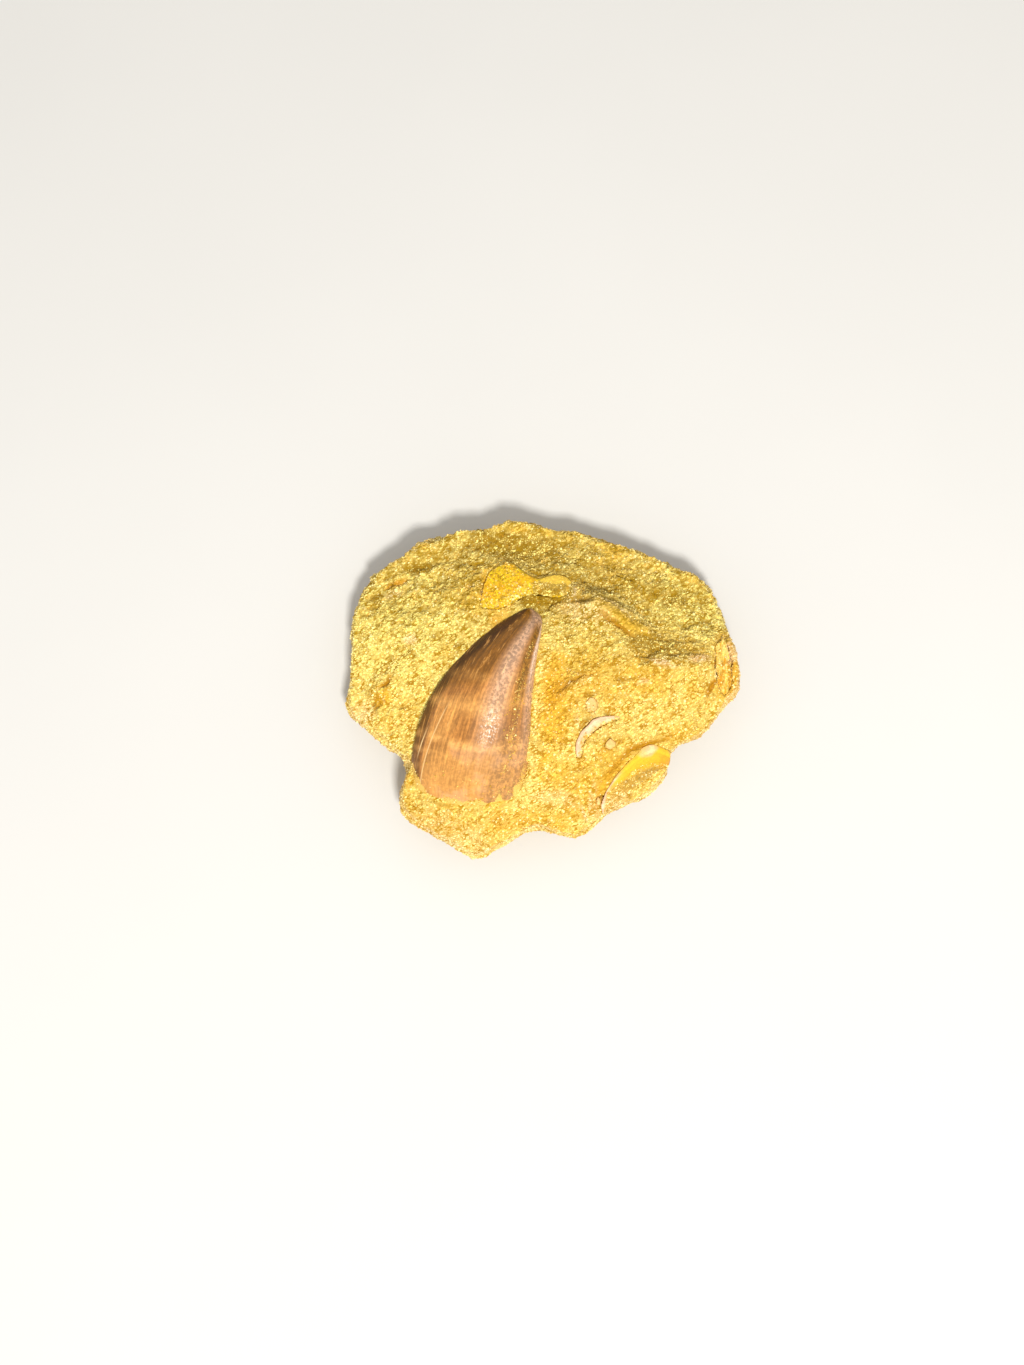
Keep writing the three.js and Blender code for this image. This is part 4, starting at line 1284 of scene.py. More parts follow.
# Their kinds, strengths and paths, in millimetres in the part's own source.
SEAMS = [
    ("bank", 1, [(-12.6, 21.6), (-9.8, 23.4), (-6.9, 25.0), (-4.2, 24.0), (-2.4, 22.5),
                 (-0.4, 21.9), (2.6, 22.7), (5.6, 22.2), (7.4, 20.8)]),
    ("rusty", 1.2, [(-28.2, 2.6), (-29.1, 1.0), (-30.6, 0.3)]),
    ("wrinkle", 1, [(-30.6, -0.8), (-31.2, -1.9), (-32.0, -3.1)]),
    ("wrinkle", 0.8, [(-29.8, -1.4), (-30.5, -2.6), (-31.4, -3.8)]),
    ("wrinkle", 1, [(-24.9, 14.3), (-22.8, 14.7), (-21.3, 14.8)]),
    ("wrinkle", 1, [(-26.6, 13.6), (-25.2, 13.5)]),
    ("wrinkle", 1, [(-17.4, 4.9), (-15.9, 5.6)]),
    ("wrinkle", 1, [(-20.8, 9.1), (-18.8, 10.3)]),
    ("wrinkle", 1, [(-26.8, -3.8), (-24.2, -2.6)]),
    ("wrinkle", 1, [(-25.8, 11.4), (-24.6, 11.9)]),
    ("wrinkle", 1, [(-17.3, 7.2), (-15.2, 7.9)]),
    ("shade", 1, [(-25.1, 23.3), (-23.3, 23.3), (-21.3, 23.3)]),
    ("rusty", 0.7, [(-29.1, 19.8), (-27.5, 20.3), (-26.0, 21.0)]),
    ("shade", 0.7, [(-32.4, 17.1), (-30.5, 18.0)]),
    ("fold", 0.8, [(3.0, -2.6), (5.6, -0.9), (8.0, 0.4), (11.0, 0.8)]),
    ("rusty", 1, [(2.4, -2.0), (4.1, -0.9), (5.2, -0.1), (6.1, 0.4), (7.4, 1.0), (8.8, 1.3)]),
    ("wrinkle", 0.7, [(10.4, 1.5), (11.9, 1.6), (13.3, 1.8), (14.6, 1.7)]),
    ("wrinkle", 1, [(12.6, 0.7), (14.1, 0.6), (15.4, 0.4), (16.5, 0.5), (17.9, 0.8), (19.0, 1.5)]),
    ("wrinkle", 0.8, [(3.8, 8.6), (4.7, 9.0), (6.0, 8.8)]),
    ("band", 1.4, [(10.2, 14.9), (11.8, 14.1), (13.0, 13.4), (14.3, 12.3), (15.6, 11.0),
                   (17.0, 10.4), (19.4, 10.2)]),
    ("chalk", 0.5, [(10.1, 16.1), (11.6, 15.9), (12.9, 15.4), (14.0, 14.4), (15.3, 13.2),
                    (16.6, 12.3)]),
    ("wrinkle", 1.2, [(11.6, 16.6), (13.1, 16.3), (14.6, 15.2), (16.0, 13.9), (17.4, 12.9)]),
    ("rusty", 1.1, [(10.6, 13.2), (11.9, 12.1), (13.0, 11.3), (14.3, 10.2), (15.4, 9.4),
                    (16.8, 8.6)]),
    ("crease", 0.85, [(16.4, 8.7), (18.2, 9.0), (19.9, 8.5), (21.1, 8.6), (22.8, 8.4),
                      (25.6, 8.3), (28.4, 8.6), (30.5, 8.6)]),
    ("crease", 0.6, [(22.3, 6.6), (23.1, 5.3), (24.6, 5.5), (26.1, 5.7), (27.3, 6.2)]),
    ("wrinkle", 0.6, [(26.8, 6.3), (28.5, 5.5), (29.7, 6.0), (30.7, 6.3)]),
    ("shade", 1.2, [(20.1, 7.9), (20.9, 6.4), (20.0, 5.0), (18.3, 3.8)]),
    ("wrinkle", 1.2, [(17.4, 4.5), (19.0, 4.7), (20.2, 5.7)]),
    ("wrinkle", 1, [(17.6, 3.1), (19.6, 4.0)]),
    ("wrinkle", 1, [(29.5, 12.8), (30.9, 13.2), (32.2, 12.1)]),
    ("wrinkle", 0.8, [(24.0, 12.6), (26.2, 12.1), (27.1, 11.2), (28.5, 12.1), (29.6, 13.3)]),
    ("cavity", 0.8, [(6.4, 16.0), (7.7, 15.9), (9.0, 16.0)]),
    ("swell", 1, [(5.8, 18.4), (7.1, 18.8), (8.6, 18.4)]),
    ("wrinkle", 1, [(5.2, 20.9), (5.9, 20.0), (7.2, 20.2), (8.7, 19.9), (9.8, 18.0)]),
    ("shade", 1.2, [(12.6, 16.4), (14.1, 16.1)]),
    ("shade", 0.9, [(20.6, 18.2), (22.0, 18.1), (24.2, 17.9)]),
    ("fold", 0.9, [(0.7, 11.7), (2.6, 13.8), (4.4, 15.2), (5.5, 15.4), (6.6, 14.4)]),
    ("crease", 0.9, [(-0.4, 13.9), (1.5, 15.0), (2.6, 15.8), (3.9, 16.1), (5.2, 16.2)]),
    ("crease", 0.8, [(-3.6, 23.2), (-1.6, 21.7), (-0.3, 21.2), (1.0, 21.3), (1.9, 21.9),
                     (3.4, 22.2), (4.6, 21.8), (5.7, 20.6)]),
    ("chalk", 0.8, [(6.0, 19.6), (6.2, 17.8), (6.0, 16.2)]),
    ("rusty", 1.2, [(23.8, -9.8), (22.5, -10.4), (20.6, -10.6), (19.3, -10.9), (18.0, -11.4),
                   (16.6, -12.0), (15.5, -12.8), (14.6, -13.6), (13.8, -14.6)]),
    ("rusty", 0.8, [(14.2, -14.2), (12.7, -15.7), (11.6, -16.7)]),
    ("ochre", 1, [(17.8, -12.0), (15.9, -13.2), (14.3, -14.6), (13.2, -16.0), (12.0, -17.5),
                  (10.9, -18.8), (10.3, -19.9), (10.0, -20.9), (9.8, -22.2), (9.7, -23.2)]),
    ("chalk", 0.8, [(6.9, -22.3), (8.4, -25.0)]),
    ("crease", 0.9, [(6.3, -9.6), (6.8, -8.8), (7.6, -7.8), (8.5, -6.9), (9.3, -6.3), (10.5, -5.9),
                     (11.6, -5.8), (12.3, -5.6), (13.6, -5.8)]),
    ("chalk", 0.5, [(6.2, -6.1), (6.3, -7.2), (6.4, -8.4)]),
    ("wrinkle", 0.4, [(13.4, -10.4), (12.7, -10.1), (11.7, -10.4), (11.2, -11.6), (11.8, -12.4),
                      (12.8, -12.8)]),
    ("crease", 0.8, [(7.4, -3.0), (8.1, -2.2), (9.4, -2.6)]),
    ("rusty", 1.2, [(32.8, 3.2), (31.7, 0.5), (31.1, -1.0), (30.2, -2.5)]),
    ("wrinkle", 0.6, [(-22.0, -20.8), (-19.0, -22.2), (-15.4, -22.9), (-12.0, -23.4)]),
    ("wrinkle", 0.5, [(-33.0, 14.0), (-28.0, 19.4), (-20.0, 23.6)]),
    ("wrinkle", 0.4, [(-31.0, 9.0), (-26.0, 13.0), (-19.6, 18.6)]),
]
# Pits in the sand below the leaning shell's golden band, darkened with painted shade.
PITS = [
    (17.7, -17.1, 0.5), (19.0, -16.3, 0.55), (19.9, -15.6, 0.5), (21.2, -15.6, 0.4),
    (15.4, -17.9, 0.35), (16.4, -18.3, 0.35), (18.3, -16.6, 0.35),
]


def rock_height(graph, place, given):
    """Rounded lumps with sharp creases, crumbs with gaps and long wrinkles of broken sandstone."""

    def creased(at, size, detail):
        return abs(graph.noise(at, size, detail, 0.6).centred()) - 0.1

    def wrinkles(degrees, size, where):
        fold = creased(graph.stretched(bent, degrees, (0.24, 1.0, 0.7)), size, 3.0)
        return fold * graph.stored(where)

    def crumbled(at, size):
        return 0.42 - graph.cells(graph.stretched(at, RUN_WAY, RUN), size)

    bent = graph.vector("ADD", place, graph.vector("SCALE", graph.wander(place, 0.35, 3.0), 2.2))
    lumps = graph.noise(bent, 4.2, detail=4.0, roughness=0.55).centred()
    broken = creased(bent, 2.4, 4.0) * 1.5
    fine = (crumbled(bent, 1.05) * 0.7 + crumbled(place, 0.62) * 0.8) * given["Second depth"]
    folds = (wrinkles(-32, 1.9, "left") + wrinkles(12, 1.3, "back")) * given["Third depth"]
    height = (lumps + broken) * given["Depth"] + fine + folds
    return height, fine + folds * 0.25


def refine_seams(mesh, shift):
    """Halves the faces of the block's skin along its narrow seams."""
    flat, normals = places_of(mesh, shift), normals_of(mesh)
    narrow = np.zeros(len(flat), bool)
    for kind, _, path in SEAMS:
        width = SEAM_KINDS[kind][1]
        if width < 0.4:
            narrow |= by_path(flat, path)[0] < 3 * width
    narrow &= normals[:, 2] > 0.2
    skin = bmesh.new()
    skin.from_mesh(mesh)
    edges = [e for e in skin.edges if all(narrow[v.index] for v in e.verts)]
    bmesh.ops.subdivide_edges(skin, edges=edges, cuts=1, use_grid_fill=True)
    skin.to_mesh(mesh)
    skin.free()


SOCKET_REACH = 2.6 * MM  # how far from a fossil the rock leans towards it
SOCKET_CLOSE = 1.1 * MM  # how far it leans at the fossil's edge
SOCKET_GAP = 0.4 * MM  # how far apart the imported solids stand
SOCKET_LAP = 0.06 * MM  # how far the rock runs into a fossil
# How far below the rock a fossil's top is looked for, and how far below it the rock then lies:
# over the small fossils, and over the crown's low right corner.
BURIED, BARED = 2.6 * MM, 0.25 * MM
CORNER_BURIED, CORNER_BARED = 2.0 * MM, 0.7 * MM
DOWN = Vector((0, 0, -1))
SMALL_FOSSILS = ("bone_wing", "bone_spike", "shell_blade", "shell_crescent", "shell_scraps")


def all_faces(names):
    """Points and faces of the named pieces, taken together."""
    points, faces = [], []
    for name in names:
        mesh = bpy.data.objects[name].data
        start = len(points)
        points.extend(map(tuple, points_of(mesh)))
        faces.extend([start + v for v in face.vertices] for face in mesh.polygons)
    return points, faces


def joined_surface(name, names):
    """One new object with the named pieces' surfaces and their values of cover."""
    mesh = bpy.data.meshes.new(name)
    points, faces = all_faces(names)
    mesh.from_pydata(points, [], faces)
    mesh.update()
    cover = [values_of(bpy.data.objects[piece].data, "cover") for piece in names]
    set_values(mesh, "cover", np.concatenate(cover))
    return new_object(name, mesh)


def near_fossils(points, reach):
    """For each point the distance to the nearest fossil, up to a reach, and the way to it."""
    tree = BVHTree.FromPolygons(*all_faces(("tooth_crown", *SMALL_FOSSILS)))
    distance = np.full(len(points), reach)
    way = np.zeros_like(points)
    for i, point in enumerate(points):
        found, _, _, far = tree.find_nearest(Vector(point), reach)
        if found is not None and far > 0:
            distance[i] = far
            way[i] = (np.array(found) - point) / far
    return distance, way


def uncover(points, normals):
    """Lowers the rock where it would hide the top of a small fossil."""
    tree = BVHTree.FromPolygons(*all_faces(SMALL_FOSSILS))
    for i in np.flatnonzero(normals[:, 2] > 0):
        found, *_ = tree.ray_cast(Vector(points[i]), DOWN, BURIED)
        if found is not None:
            points[i, 2] = found.z - BARED


# The rock's edge by the crown's low right corner, in millimetres in the part's own source.
CORNER = [(-12.4, -22.3), (-8.6, -22.0), (-6.3, -21.2), (-3.9, -19.6), (-2.8, -17.4), (-2.1, -14.6)]


def uncover_corner(points, normals, shift):
    """Lowers the rock where it would hide the crown's low right corner."""
    tree = BVHTree.FromPolygons(*all_faces(("tooth_crown",)))
    offset, along = plan_offset((points - shift) / MM, CORNER)
    show = smooth(-offset / 0.8) * (offset > -4) * (along > 0.01) * (along < 0.99)
    for i in np.flatnonzero((normals[:, 2] > 0) & (show > 0)):
        found, *_ = tree.ray_cast(Vector(points[i]), DOWN, CORNER_BURIED)
        if found is not None:
            points[i, 2] += show[i] * (found.z - CORNER_BARED - points[i, 2])


def sandstone(graph, place, look):
    """The sandstone's tint at a place, with seam colours, painted shade and painted light."""
    tint_ = use_group(graph, "Sandstone tint", {"Place": place})
    tint_["Colour"] = graph.coated(
        tint_["Colour"],
        # Painted rim highlight: the steep sides are paled.
        (graph.attribute("steep") * 0.4, look.chalk),
        (graph.attribute("gold"), look.golden),
        (graph.attribute("rust"), look.rust),
        (graph.attribute("chalk"), look.chalk),
        # Painted shade: the dark of creases, cavities and pits.
        (graph.attribute("dark"), look.crease),
    )
    return tint_


def sandstone_material(look):
    """Golden sandstone between the grains: stained, crumbly, painted shade in pits and gaps."""
    material, graph, shader, place = new_material("golden sandstone")
    tint_ = sandstone(graph, place, look)
    drawn = graph.stretched(place, RUN_WAY, RUN)
    crumbs = graph.cells(drawn, CRUMB)
    crumb_colour = graph.cells(drawn, CRUMB, output="Color")
    random = graph.take("ShaderNodeSeparateColor", {0: crumb_colour})
    # Painted shade: darker in the shade mask's places, in the gaps between crumbs and in pits.
    tone = graph.coated(
        graph.shade(tint_["Colour"], random.fit(0.0, 1.0, 0.8, 1.1)),
        (tint_["Dim"] * 0.9, look.crease),
        (graph.largest(crumbs.fit(0.34, 0.6, 0.0, 0.6), tint_["Gap"]), tint_["Gap colour"]),
        (relief_of(graph).fit(-0.08, -0.32, 0.0, 0.75), tint_["Gap colour"]),
    )
    graph.feed(shader.inputs["Base Color"], tone)
    graph.feed(shader.inputs["Roughness"], random.fit(0.0, 1.0, 0.7, 0.95))
    shader.inputs["Specular IOR Level"].default_value = 0.08
    add_bump(graph, shader, crumbs, -0.2 * MM, 0.9)
    return material


def close_on_fossils(points, normals):
    """Moves the rock up to the fossils, and gives each point's distance from them before that."""
    distance, way = near_fossils(points, SOCKET_REACH)
    lean = 1 - (distance - SOCKET_GAP) / (SOCKET_REACH - SOCKET_GAP)
    lean = np.where(distance < SOCKET_REACH, np.clip(lean, 0, 1), 0)
    points += way * (np.minimum(distance + SOCKET_LAP, SOCKET_CLOSE) * lean)[:, None]
    uncover(points, normals)
    return distance


def draw_seams(points, flat, upward):
    """Moves the rock up or down along its seams, and gives their values at each point."""
    waver = 0.3 * np.stack([ripples_at(flat, 1.2, n) for n in (1, 2)], axis=1)
    broken = 0.72 + 0.42 * ripples_at(flat, 1.4, 7)
    lines = np.zeros((len(SEAM_VALUES), len(points)))
    for kind, strength, path in SEAMS:
        rise, width, *strengths = SEAM_KINDS[kind]
        far, along = by_path(flat[:, :2] + waver, path)
        line = upward * bell(far, width) * np.sqrt(np.sin(np.pi * np.clip(along, 0.04, 0.96)))
        if kind in ("crease", "wrinkle"):
            line *= broken
        points[:, 2] += rise * strength * MM * line
        lines = np.maximum(lines, np.outer(strengths, line * strength))
    return dict(zip(SEAM_VALUES, np.clip(lines, 0, 1)))


def move_above_floor(mesh, points):
    points[:, 2] = np.maximum(points[:, 2], 0.0)
    move_points(mesh, points)


class FOSSIL_OT_rock(bpy.types.Operator):
    """Make the sandstone block with its broken surface"""

    bl_idname = "fossil.rock"
    bl_label = "Sandstone block"

    def execute(self, context):
        look = context.scene.fossil_rock
        shift = source_shift()
        build_stain_group()
        build_sandstone_group(look, shift)
        obj = merged_copy("sandstone_block", "matrix_block")
        fine_skin(obj, look.cell, 6)
        refine_seams(obj.data, shift)
        points, normals = points_of(obj.data), normals_of(obj.data)

        distance = close_on_fossils(points, normals)
        flat = (points - shift) / MM
        upward = smooth((normals[:, 2] - 0.2) / 0.4)
        values = draw_seams(points, flat, upward)
        move_above_floor(obj.data, points)

        # The broken skin is free away from the fossils and the floor, and strongest far up.
        x, y = flat[:, 0], flat[:, 1]
        free = smooth((distance - 0.5 * MM) / (1.6 * MM)) * smooth(points[:, 2] / (1.2 * MM))
        strong = 0.64 + 0.5 * smooth((y - 9) / 11)
        set_all(obj.data, {
            **values,
            # steep marks the sides, which the sandstone's tint pales as a painted rim highlight.
            "steep": smooth((0.62 - normals[:, 2]) / 0.7),
            "freedom": free * strong * (1 - 0.8 * values["bare"]),
            "left": smooth((-6 - x) / 8) * upward,
            "back": smooth((x + 2) / 8) * smooth((y - 3) / 5) * upward,
        })
        tree = skin_tree("Broken sandstone", rock_height)
        run_nodes(obj, tree, {
            "Depth": look.lump_depth, "Second depth": look.pit_depth,
            "Third depth": look.ripple_depth, "Finish": sandstone_material(look),
        })
        points = points_of(obj.data)
        uncover_corner(points, normals_of(obj.data), shift)
        move_above_floor(obj.data, points)
        finish_piece(obj, "sandstone", "matrix_block")
        return {"FINISHED"}


# ---------------------------------------------------------------- the grains


CROWD = 4.0  # points tried for each square of the spacing
FOSSILS_CLEAR = 0.16 * MM  # the block's grains keep this far from the fossils
FLOOR_CLEAR = 0.3 * MM  # and this far above the floor
BORDER = 0.9 * MM  # how wide the rock's border along the fossils is
SPLITS = -9 * MM, 11 * MM  # where the three pieces of grains on top meet


def grain_tree():
    """Scatters irregular grains over a surface, each half sunk and with its own tone."""
    tree, graph, given = geometry_tree(
        "Sand grains", ("Spacing", "Smallest", "Largest", "Sink"), ("Seed",)
    )

    def random(kind, low, high, offset):
        seed = graph.take("FunctionNodeIntegerMath", {0: given["Seed"], 1: offset}, operation="ADD")
        first, output = (0, 0) if kind == "FLOAT_VECTOR" else (2, 1)
        inputs = {"Seed": seed, first: low, first + 1: high}
        return graph.take("FunctionNodeRandomValue", inputs, output, data_type=kind)

    # Points no nearer than the spacing, each with its own radius, most of them small.
    spots = graph.put("GeometryNodeDistributePointsOnFaces", {
        "Mesh": given["Geometry"], "Distance Min": given["Spacing"],
        "Density Max": CROWD / (given["Spacing"] * given["Spacing"]),
        "Density Factor": graph.stored("grain_share"), "Seed": given["Seed"],
    }, distribute_method="POISSON")
    points, outwards = (Wire(graph, spots.outputs[name]) for name in ("Points", "Normal"))
    even = random("FLOAT", 0.0, 1.0, 1)
    radius = given["Smallest"] + even * even * (given["Largest"] - given["Smallest"])
    sized = graph.store(points, "radius_of_grain", radius)
    kept = graph.stored("radius_of_grain")
    sunk = graph.moved(sized, outwards, kept * (given["Sink"] * -1.0))

    whole_turn = (math.tau, math.tau, math.tau)
    turned = random("FLOAT_VECTOR", (0.0, 0.0, 0.0), whole_turn, 2)
    squash = random("FLOAT_VECTOR", (0.7, 0.7, 0.62), (1.25, 1.25, 1.1), 3)
    grains = graph.take("GeometryNodeInstanceOnPoints", {
        "Points": sunk,
        "Instance": graph.take("GeometryNodeMeshIcoSphere", {"Radius": 1.0, "Subdivisions": 1}),
        "Rotation": graph.take("FunctionNodeEulerToRotation", {0: turned}),
        "Scale": graph.vector("SCALE", squash, kept),
    })
    toned = graph.store(grains, "tone", random("FLOAT", 0.0, 1.0, 4), "INSTANCE")
    whole = graph.take("GeometryNodeRealizeInstances", {"Geometry": toned})
    pushed = graph.vector("SUBTRACT", graph.wander(graph.place(), 3.1, 1.0), (0.5, 0.5, 0.5))
    knocked = graph.moved(whole, pushed, kept * 1.1)
    graph.finish_geometry(knocked, given["Finish"], soft=False)
    return tree


def grain_material(look):
    """One sand grain: the sandstone's colour there, lighter or darker from grain to grain."""
    material, graph, shader, place = new_material("sand grains")
    tint_ = sandstone(graph, place, look)
    chance, relief = graph.attribute("tone"), relief_of(graph)
    shade_mask, gap, gap_colour = tint_["Dim"], tint_["Gap"], tint_["Gap colour"]
    clumped = chance + tint_["Clump"]
    # Painted highlight on crests; painted shade in pits, gaps and the shade mask's places.
    tone = graph.coated(
        tint_["Colour"],
        (relief.fit(0.08, 0.26, 0.0, 0.55), look.light),
        (relief.fit(-0.08, -0.3, 0.0, 0.75), gap_colour),
        ((1.0 - shade_mask * 0.8) * chance.fit(0.8, 0.84, 0.0, 0.5), look.light),
        (shade_mask * clumped.fit(0.44, 0.38, 0.0, 0.9), look.hollow),
        (shade_mask * clumped.fit(0.26, 0.2, 0.0, 0.8), look.crease),
        (shade_mask * clumped.fit(0.54, 0.6, 0.0, 0.9), look.lemon),
        (chance.fit(0.2, 0.1, 0.0, 0.5), look.amber),
        (chance.fit(0.05, 0.03, 0.0, 0.6), look.hollow),
    )
    tone = graph.shade(tone, chance.fit(0.0, 1.0, 0.82, 1.1))
    graph.feed(shader.inputs["Base Color"], graph.blend(gap * 0.85, tone, gap_colour))
    graph.feed(shader.inputs["Roughness"], chance.fit(0.2, 0.9, 0.8, 0.55))
    shader.inputs["Specular IOR Level"].default_value = 0.14
    add_bump(graph, shader, graph.noise(place, 0.12), 0.04 * MM, 0.5)
    return material


def scatter(name, source, tree, values):
    """One piece of sand grains over the places of a surface whose grain_share is above 0."""
    obj = new_object(name, source.data.copy())
    run_nodes(obj, tree, values)
    finish_piece(obj, "sandstone")


class FOSSIL_OT_grains(bpy.types.Operator):
    """Cover the sandstone with sand grains and leave grit on the tooth"""

    bl_idname = "fossil.grains"
    bl_label = "Sand grains"

    def execute(self, context):
        look = context.scene.fossil_rock
        tree = grain_tree()
        usual = {
            "Smallest": look.smallest_grain, "Largest": look.largest_grain, "Sink": 0.25,
            "Finish": grain_material(look),
        }
        rock = bpy.data.objects["sandstone_block"]
        points, normals = points_of(rock.data), normals_of(rock.data)
        distance, _ = near_fossils(points, 1.0 * MM)
        open_ = (distance > FOSSILS_CLEAR) & (points[:, 2] > FLOOR_CLEAR)
        top = open_ & (normals[:, 2] > 0.05)
        x = points[:, 0]
        areas = {
            "grains_left": (top & (x < SPLITS[0]), look.grain_spacing),
            "grains_middle": (top & (x >= SPLITS[0]) & (x < SPLITS[1]), look.grain_spacing),
            "grains_right": (top & (x >= SPLITS[1]), look.grain_spacing),
            "grains_sides": (open_ & ~top, look.side_spacing),
        }
        rest = 1 - values_of(rock.data, "bare")
        for n, (name, (where, spacing)) in enumerate(areas.items()):
            set_values(rock.data, "grain_share", where * rest)
            scatter(name, rock, tree, {**usual, "Seed": look.seed + 10 * n, "Spacing": spacing})

        edge = border_tree(points[top & (distance < BORDER)])
        tooth = bpy.data.objects["tooth_crown"]
        set_grit_on_tooth(tooth.data, edge)
        grit = {"Spacing": 0.3 * MM, "Smallest": 0.07 * MM, "Largest": 0.22 * MM, "Sink": 0.1}
        scatter("grains_on_tooth", tooth, tree, {**usual, **grit, "Seed": look.seed + 90})
        small = joined_surface("small_fossils", SMALL_FOSSILS)
        set_cover_on_fossils(small.data, edge)
        cover = {"Spacing": 0.26 * MM, "Seed": look.seed + 120}
        scatter("grains_on_fossils", small, tree, {**usual, **cover})
        bpy.data.objects.remove(small)
        return {"FINISHED"}


def border_tree(points):
    """The points of the rock along the fossils, made ready for border_distance."""
    tree = KDTree(len(points))
    for i, point in enumerate(points):
        tree.insert(Vector(point), i)
    tree.balance()
    return tree


def border_distance(points, edge):
    """Each point's distance from the rock's border, in millimetres."""
    return np.array([edge.find(Vector(p))[2] for p in points]) / MM


def set_grit_on_tooth(mesh, edge):
    """Sets how much sand clings to each point of the crown: most by the rock's edge."""
    points, normals = points_of(mesh), normals_of(mesh)
    across, along = values_of(mesh, "across"), values_of(mesh, "along")
    near = border_distance(points, edge)
    right = smooth((across - 0.25) / 0.5)
    low = smooth((0.34 - along) / 0.2)
    uneven = 0.6 * ripples_at(points / MM, 1.6, 4)
    grit = 0.85 * smooth(1.15 - near / 1.9 + uneven) * (0.15 + 0.85 * np.maximum(low, 0.4 * right))
    grit = np.maximum(grit, 0.42 * right * low)
    grit = np.maximum(grit, 0.46 * bell(across - GROOVE, 0.12) * smooth((0.72 - along) / 0.1))
    grit = np.maximum(grit, 0.2 * low)
    grit *= normals[:, 2] > 0
    patchy = 0.5 + 0.5 * ripples_at(points / MM, 1.1, 2)
    share = np.clip(grit * patchy * 2.6 - 0.2, 0, 1)
    set_all(mesh, {"grit": grit, "grain_share": share, "rust": np.full(len(points), 0.4)})


def set_cover_on_fossils(mesh, edge):
    """Sets where sand covers the small fossils: by their own values and along their borders."""
    points, normals = points_of(mesh), normals_of(mesh)
    flat = (points - source_shift()) / MM
    near = border_distance(points, edge)
    ragged = 0.5 * ripples_at(flat, 0.8, 6)
    cover = values_of(mesh, "cover") + smooth(1 - near / 0.9 + ragged)
    pits = np.zeros(len(points))
    for x, y, radius in PITS:
        pits = np.maximum(pits, bell(np.hypot(flat[:, 0] - x, flat[:, 1] - y), radius))
    set_all(mesh, {
        # dark is painted shade in the pits; relief gives the grains here painted light and shade.
        "dark": 0.9 * pits,
        "relief": -0.2 * MM * ripples_at(flat, 0.7, 9),
        "grain_share": np.clip(cover, 0, 1) * (1 - 0.6 * pits) * (normals[:, 2] > 0.1),
    })


# ---------------------------------------------------------------- the stage


LOOK_AT = (-5.6, 0.2, 14.0)  # the middle of the view, in millimetres


def aim(obj, target):
    """Turns a light or camera to face the target, with its own Y axis nearest to the scene's."""
    back = (obj.location - target).normalized()
    side = Vector((0, 1, 0)).cross(back).normalized()
    obj.rotation_mode = "QUATERNION"
    obj.rotation_quaternion = Matrix((side, back.cross(side), back)).transposed().to_quaternion()


def soft_light(name, way, distance, size, power, glow, target):
    """A rectangular soft light of the given width and length, aimed at the target."""
    data = bpy.data.lights.new(name, "AREA")
    data.shape = "RECTANGLE"
    data.size, data.size_y = size
    data.energy = power
    data.color = glow
    light = new_object(name, data)
    light.location = target + Vector(way).normalized() * distance
    aim(light, target)
    return light


def floor_material(look):
    """Matt pale studio floor with faint clouds."""
    material, graph, shader, place = new_material("studio floor")
    cloud = graph.noise(place, 60.0, detail=3.0)
    tone = graph.shade(look.floor, cloud.fit(0.3, 0.7, 0.985, 1.0))
    graph.feed(shader.inputs["Base Color"], tone)
    shader.inputs["Roughness"].default_value = 0.9
    return material


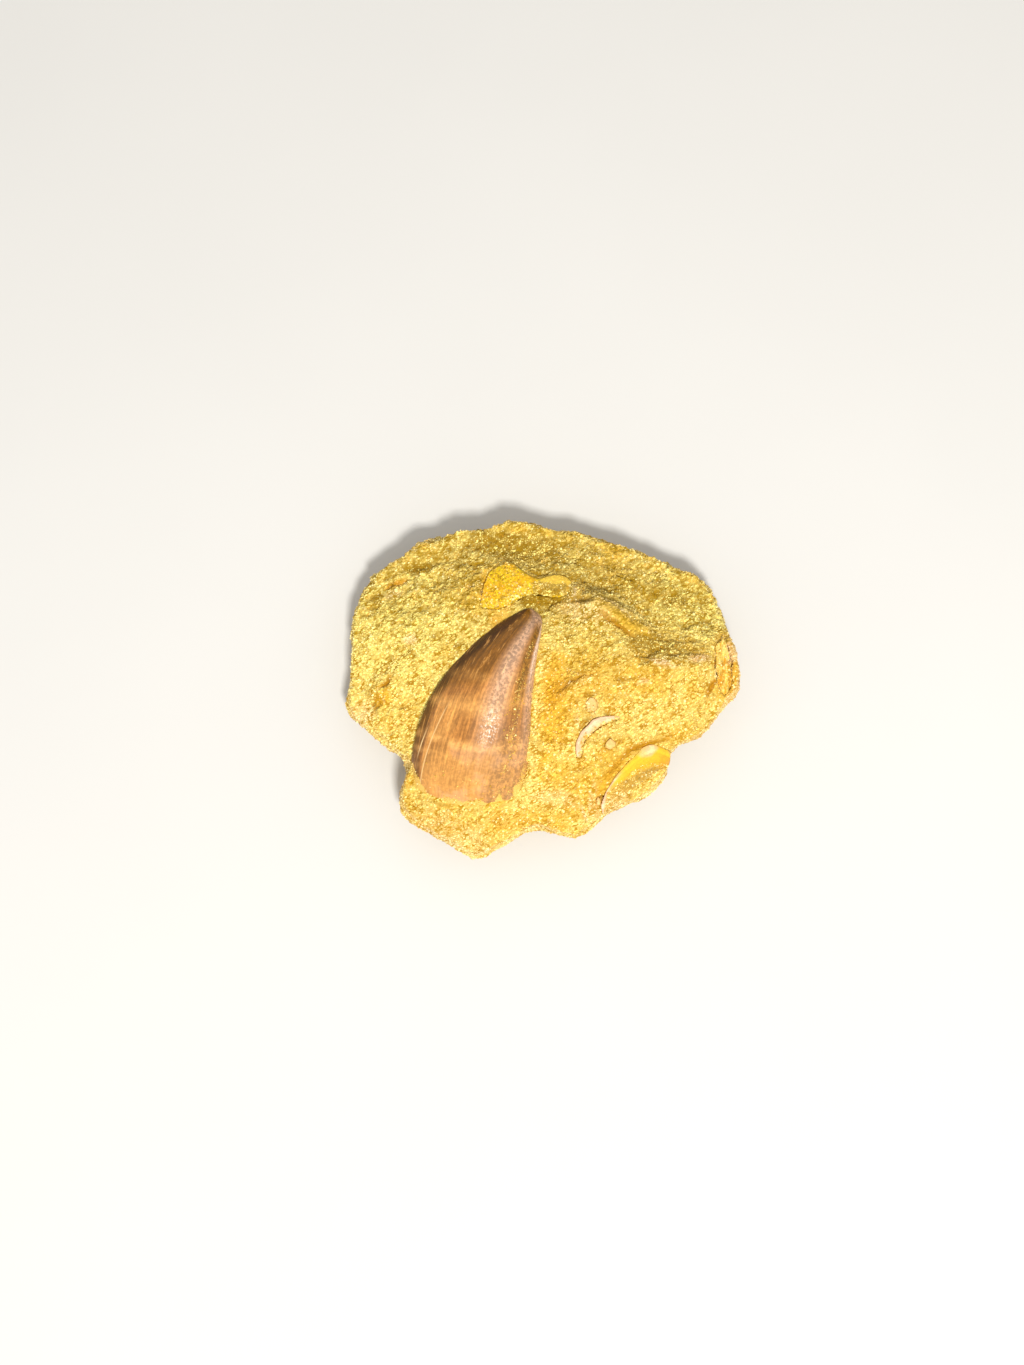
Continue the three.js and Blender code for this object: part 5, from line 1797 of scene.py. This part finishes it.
class FOSSIL_OT_stage(bpy.types.Operator):
    """Make the floor, the lights and the camera"""

    bl_idname = "fossil.stage"
    bl_label = "Stage"

    def execute(self, context):
        look, scene = context.scene.fossil_stage, context.scene
        mesh = bpy.data.meshes.new("floor")
        disc = bmesh.new()
        bmesh.ops.create_circle(disc, cap_ends=True, segments=96, radius=2.5)
        disc.to_mesh(mesh)
        disc.free()
        mesh.materials.append(floor_material(look))
        new_object("floor", mesh)

        # The key light shapes the rock, and the sheen light only shines back from the enamel.
        target = Vector(LOOK_AT) * MM
        key = soft_light(
            "key", way=(0.1, -0.44, 0.89), distance=0.6, size=(0.08, 0.08), power=look.key,
            glow=(1.0, 0.985, 0.95), target=target,
        )
        key.visible_glossy = False
        sheen = soft_light(
            "sheen", way=(0.02, 0.45, 0.89), distance=0.5, size=(0.14, 0.56), power=look.sheen,
            glow=(1.0, 0.97, 0.98), target=target,
        )
        sheen.visible_diffuse = False

        world = bpy.data.worlds.new("room")
        world.use_nodes = True
        back = world.node_tree.nodes["Background"]
        back.inputs["Color"].default_value = (1.0, 0.99, 0.97, 1.0)
        back.inputs["Strength"].default_value = look.sky
        scene.world = world

        data = bpy.data.cameras.new("camera")
        data.lens = look.lens
        data.sensor_width = 36.0
        data.clip_start, data.clip_end = 0.01, 20.0
        camera = new_object("camera", data)
        back_way = Vector((0, -math.cos(look.elevation), math.sin(look.elevation)))
        camera.location = target + back_way * look.distance
        aim(camera, target)
        scene.camera = camera
        scene.view_settings.view_transform = "Standard"
        return {"FINISHED"}


# ---------------------------------------------------------------- panel and registration


class FOSSIL_PT_panel(bpy.types.Panel):
    """Lists the fossil's pieces and their settings"""

    bl_idname = "FOSSIL_PT_panel"
    bl_label = "Fossil tooth"
    bl_space_type = "VIEW_3D"
    bl_region_type = "UI"
    bl_category = "Fossil"

    def draw(self, context):
        layout, scene = self.layout, context.scene
        for step in STEPS:
            layout.operator(f"fossil.{step}")
        for name in SETTINGS:
            box = layout.box()
            settings = getattr(scene, name)
            for prop in settings.bl_rna.properties:
                if prop.identifier not in ("name", "rna_type"):
                    box.prop(settings, prop.identifier)


STEPS = ("tooth", "bones", "shells", "rock", "grains", "stage")
SETTINGS = {
    "fossil_tooth": FossilToothSettings,
    "fossil_bone": FossilBoneSettings,
    "fossil_shell": FossilShellSettings,
    "fossil_rock": FossilRockSettings,
    "fossil_stage": FossilStageSettings,
}
CLASSES = (
    *SETTINGS.values(),
    FOSSIL_OT_tooth,
    FOSSIL_OT_bones,
    FOSSIL_OT_shells,
    FOSSIL_OT_rock,
    FOSSIL_OT_grains,
    FOSSIL_OT_stage,
    FOSSIL_PT_panel,
)


def register():
    for cls in CLASSES:
        bpy.utils.register_class(cls)
    for name, kind in SETTINGS.items():
        setattr(bpy.types.Scene, name, PointerProperty(type=kind))


def unregister():
    for name in SETTINGS:
        delattr(bpy.types.Scene, name)
    for cls in reversed(CLASSES):
        bpy.utils.unregister_class(cls)


def main():
    register()
    build_dust_group()
    for step in STEPS:
        getattr(bpy.ops.fossil, step)()


if __name__ == "__main__":
    main()
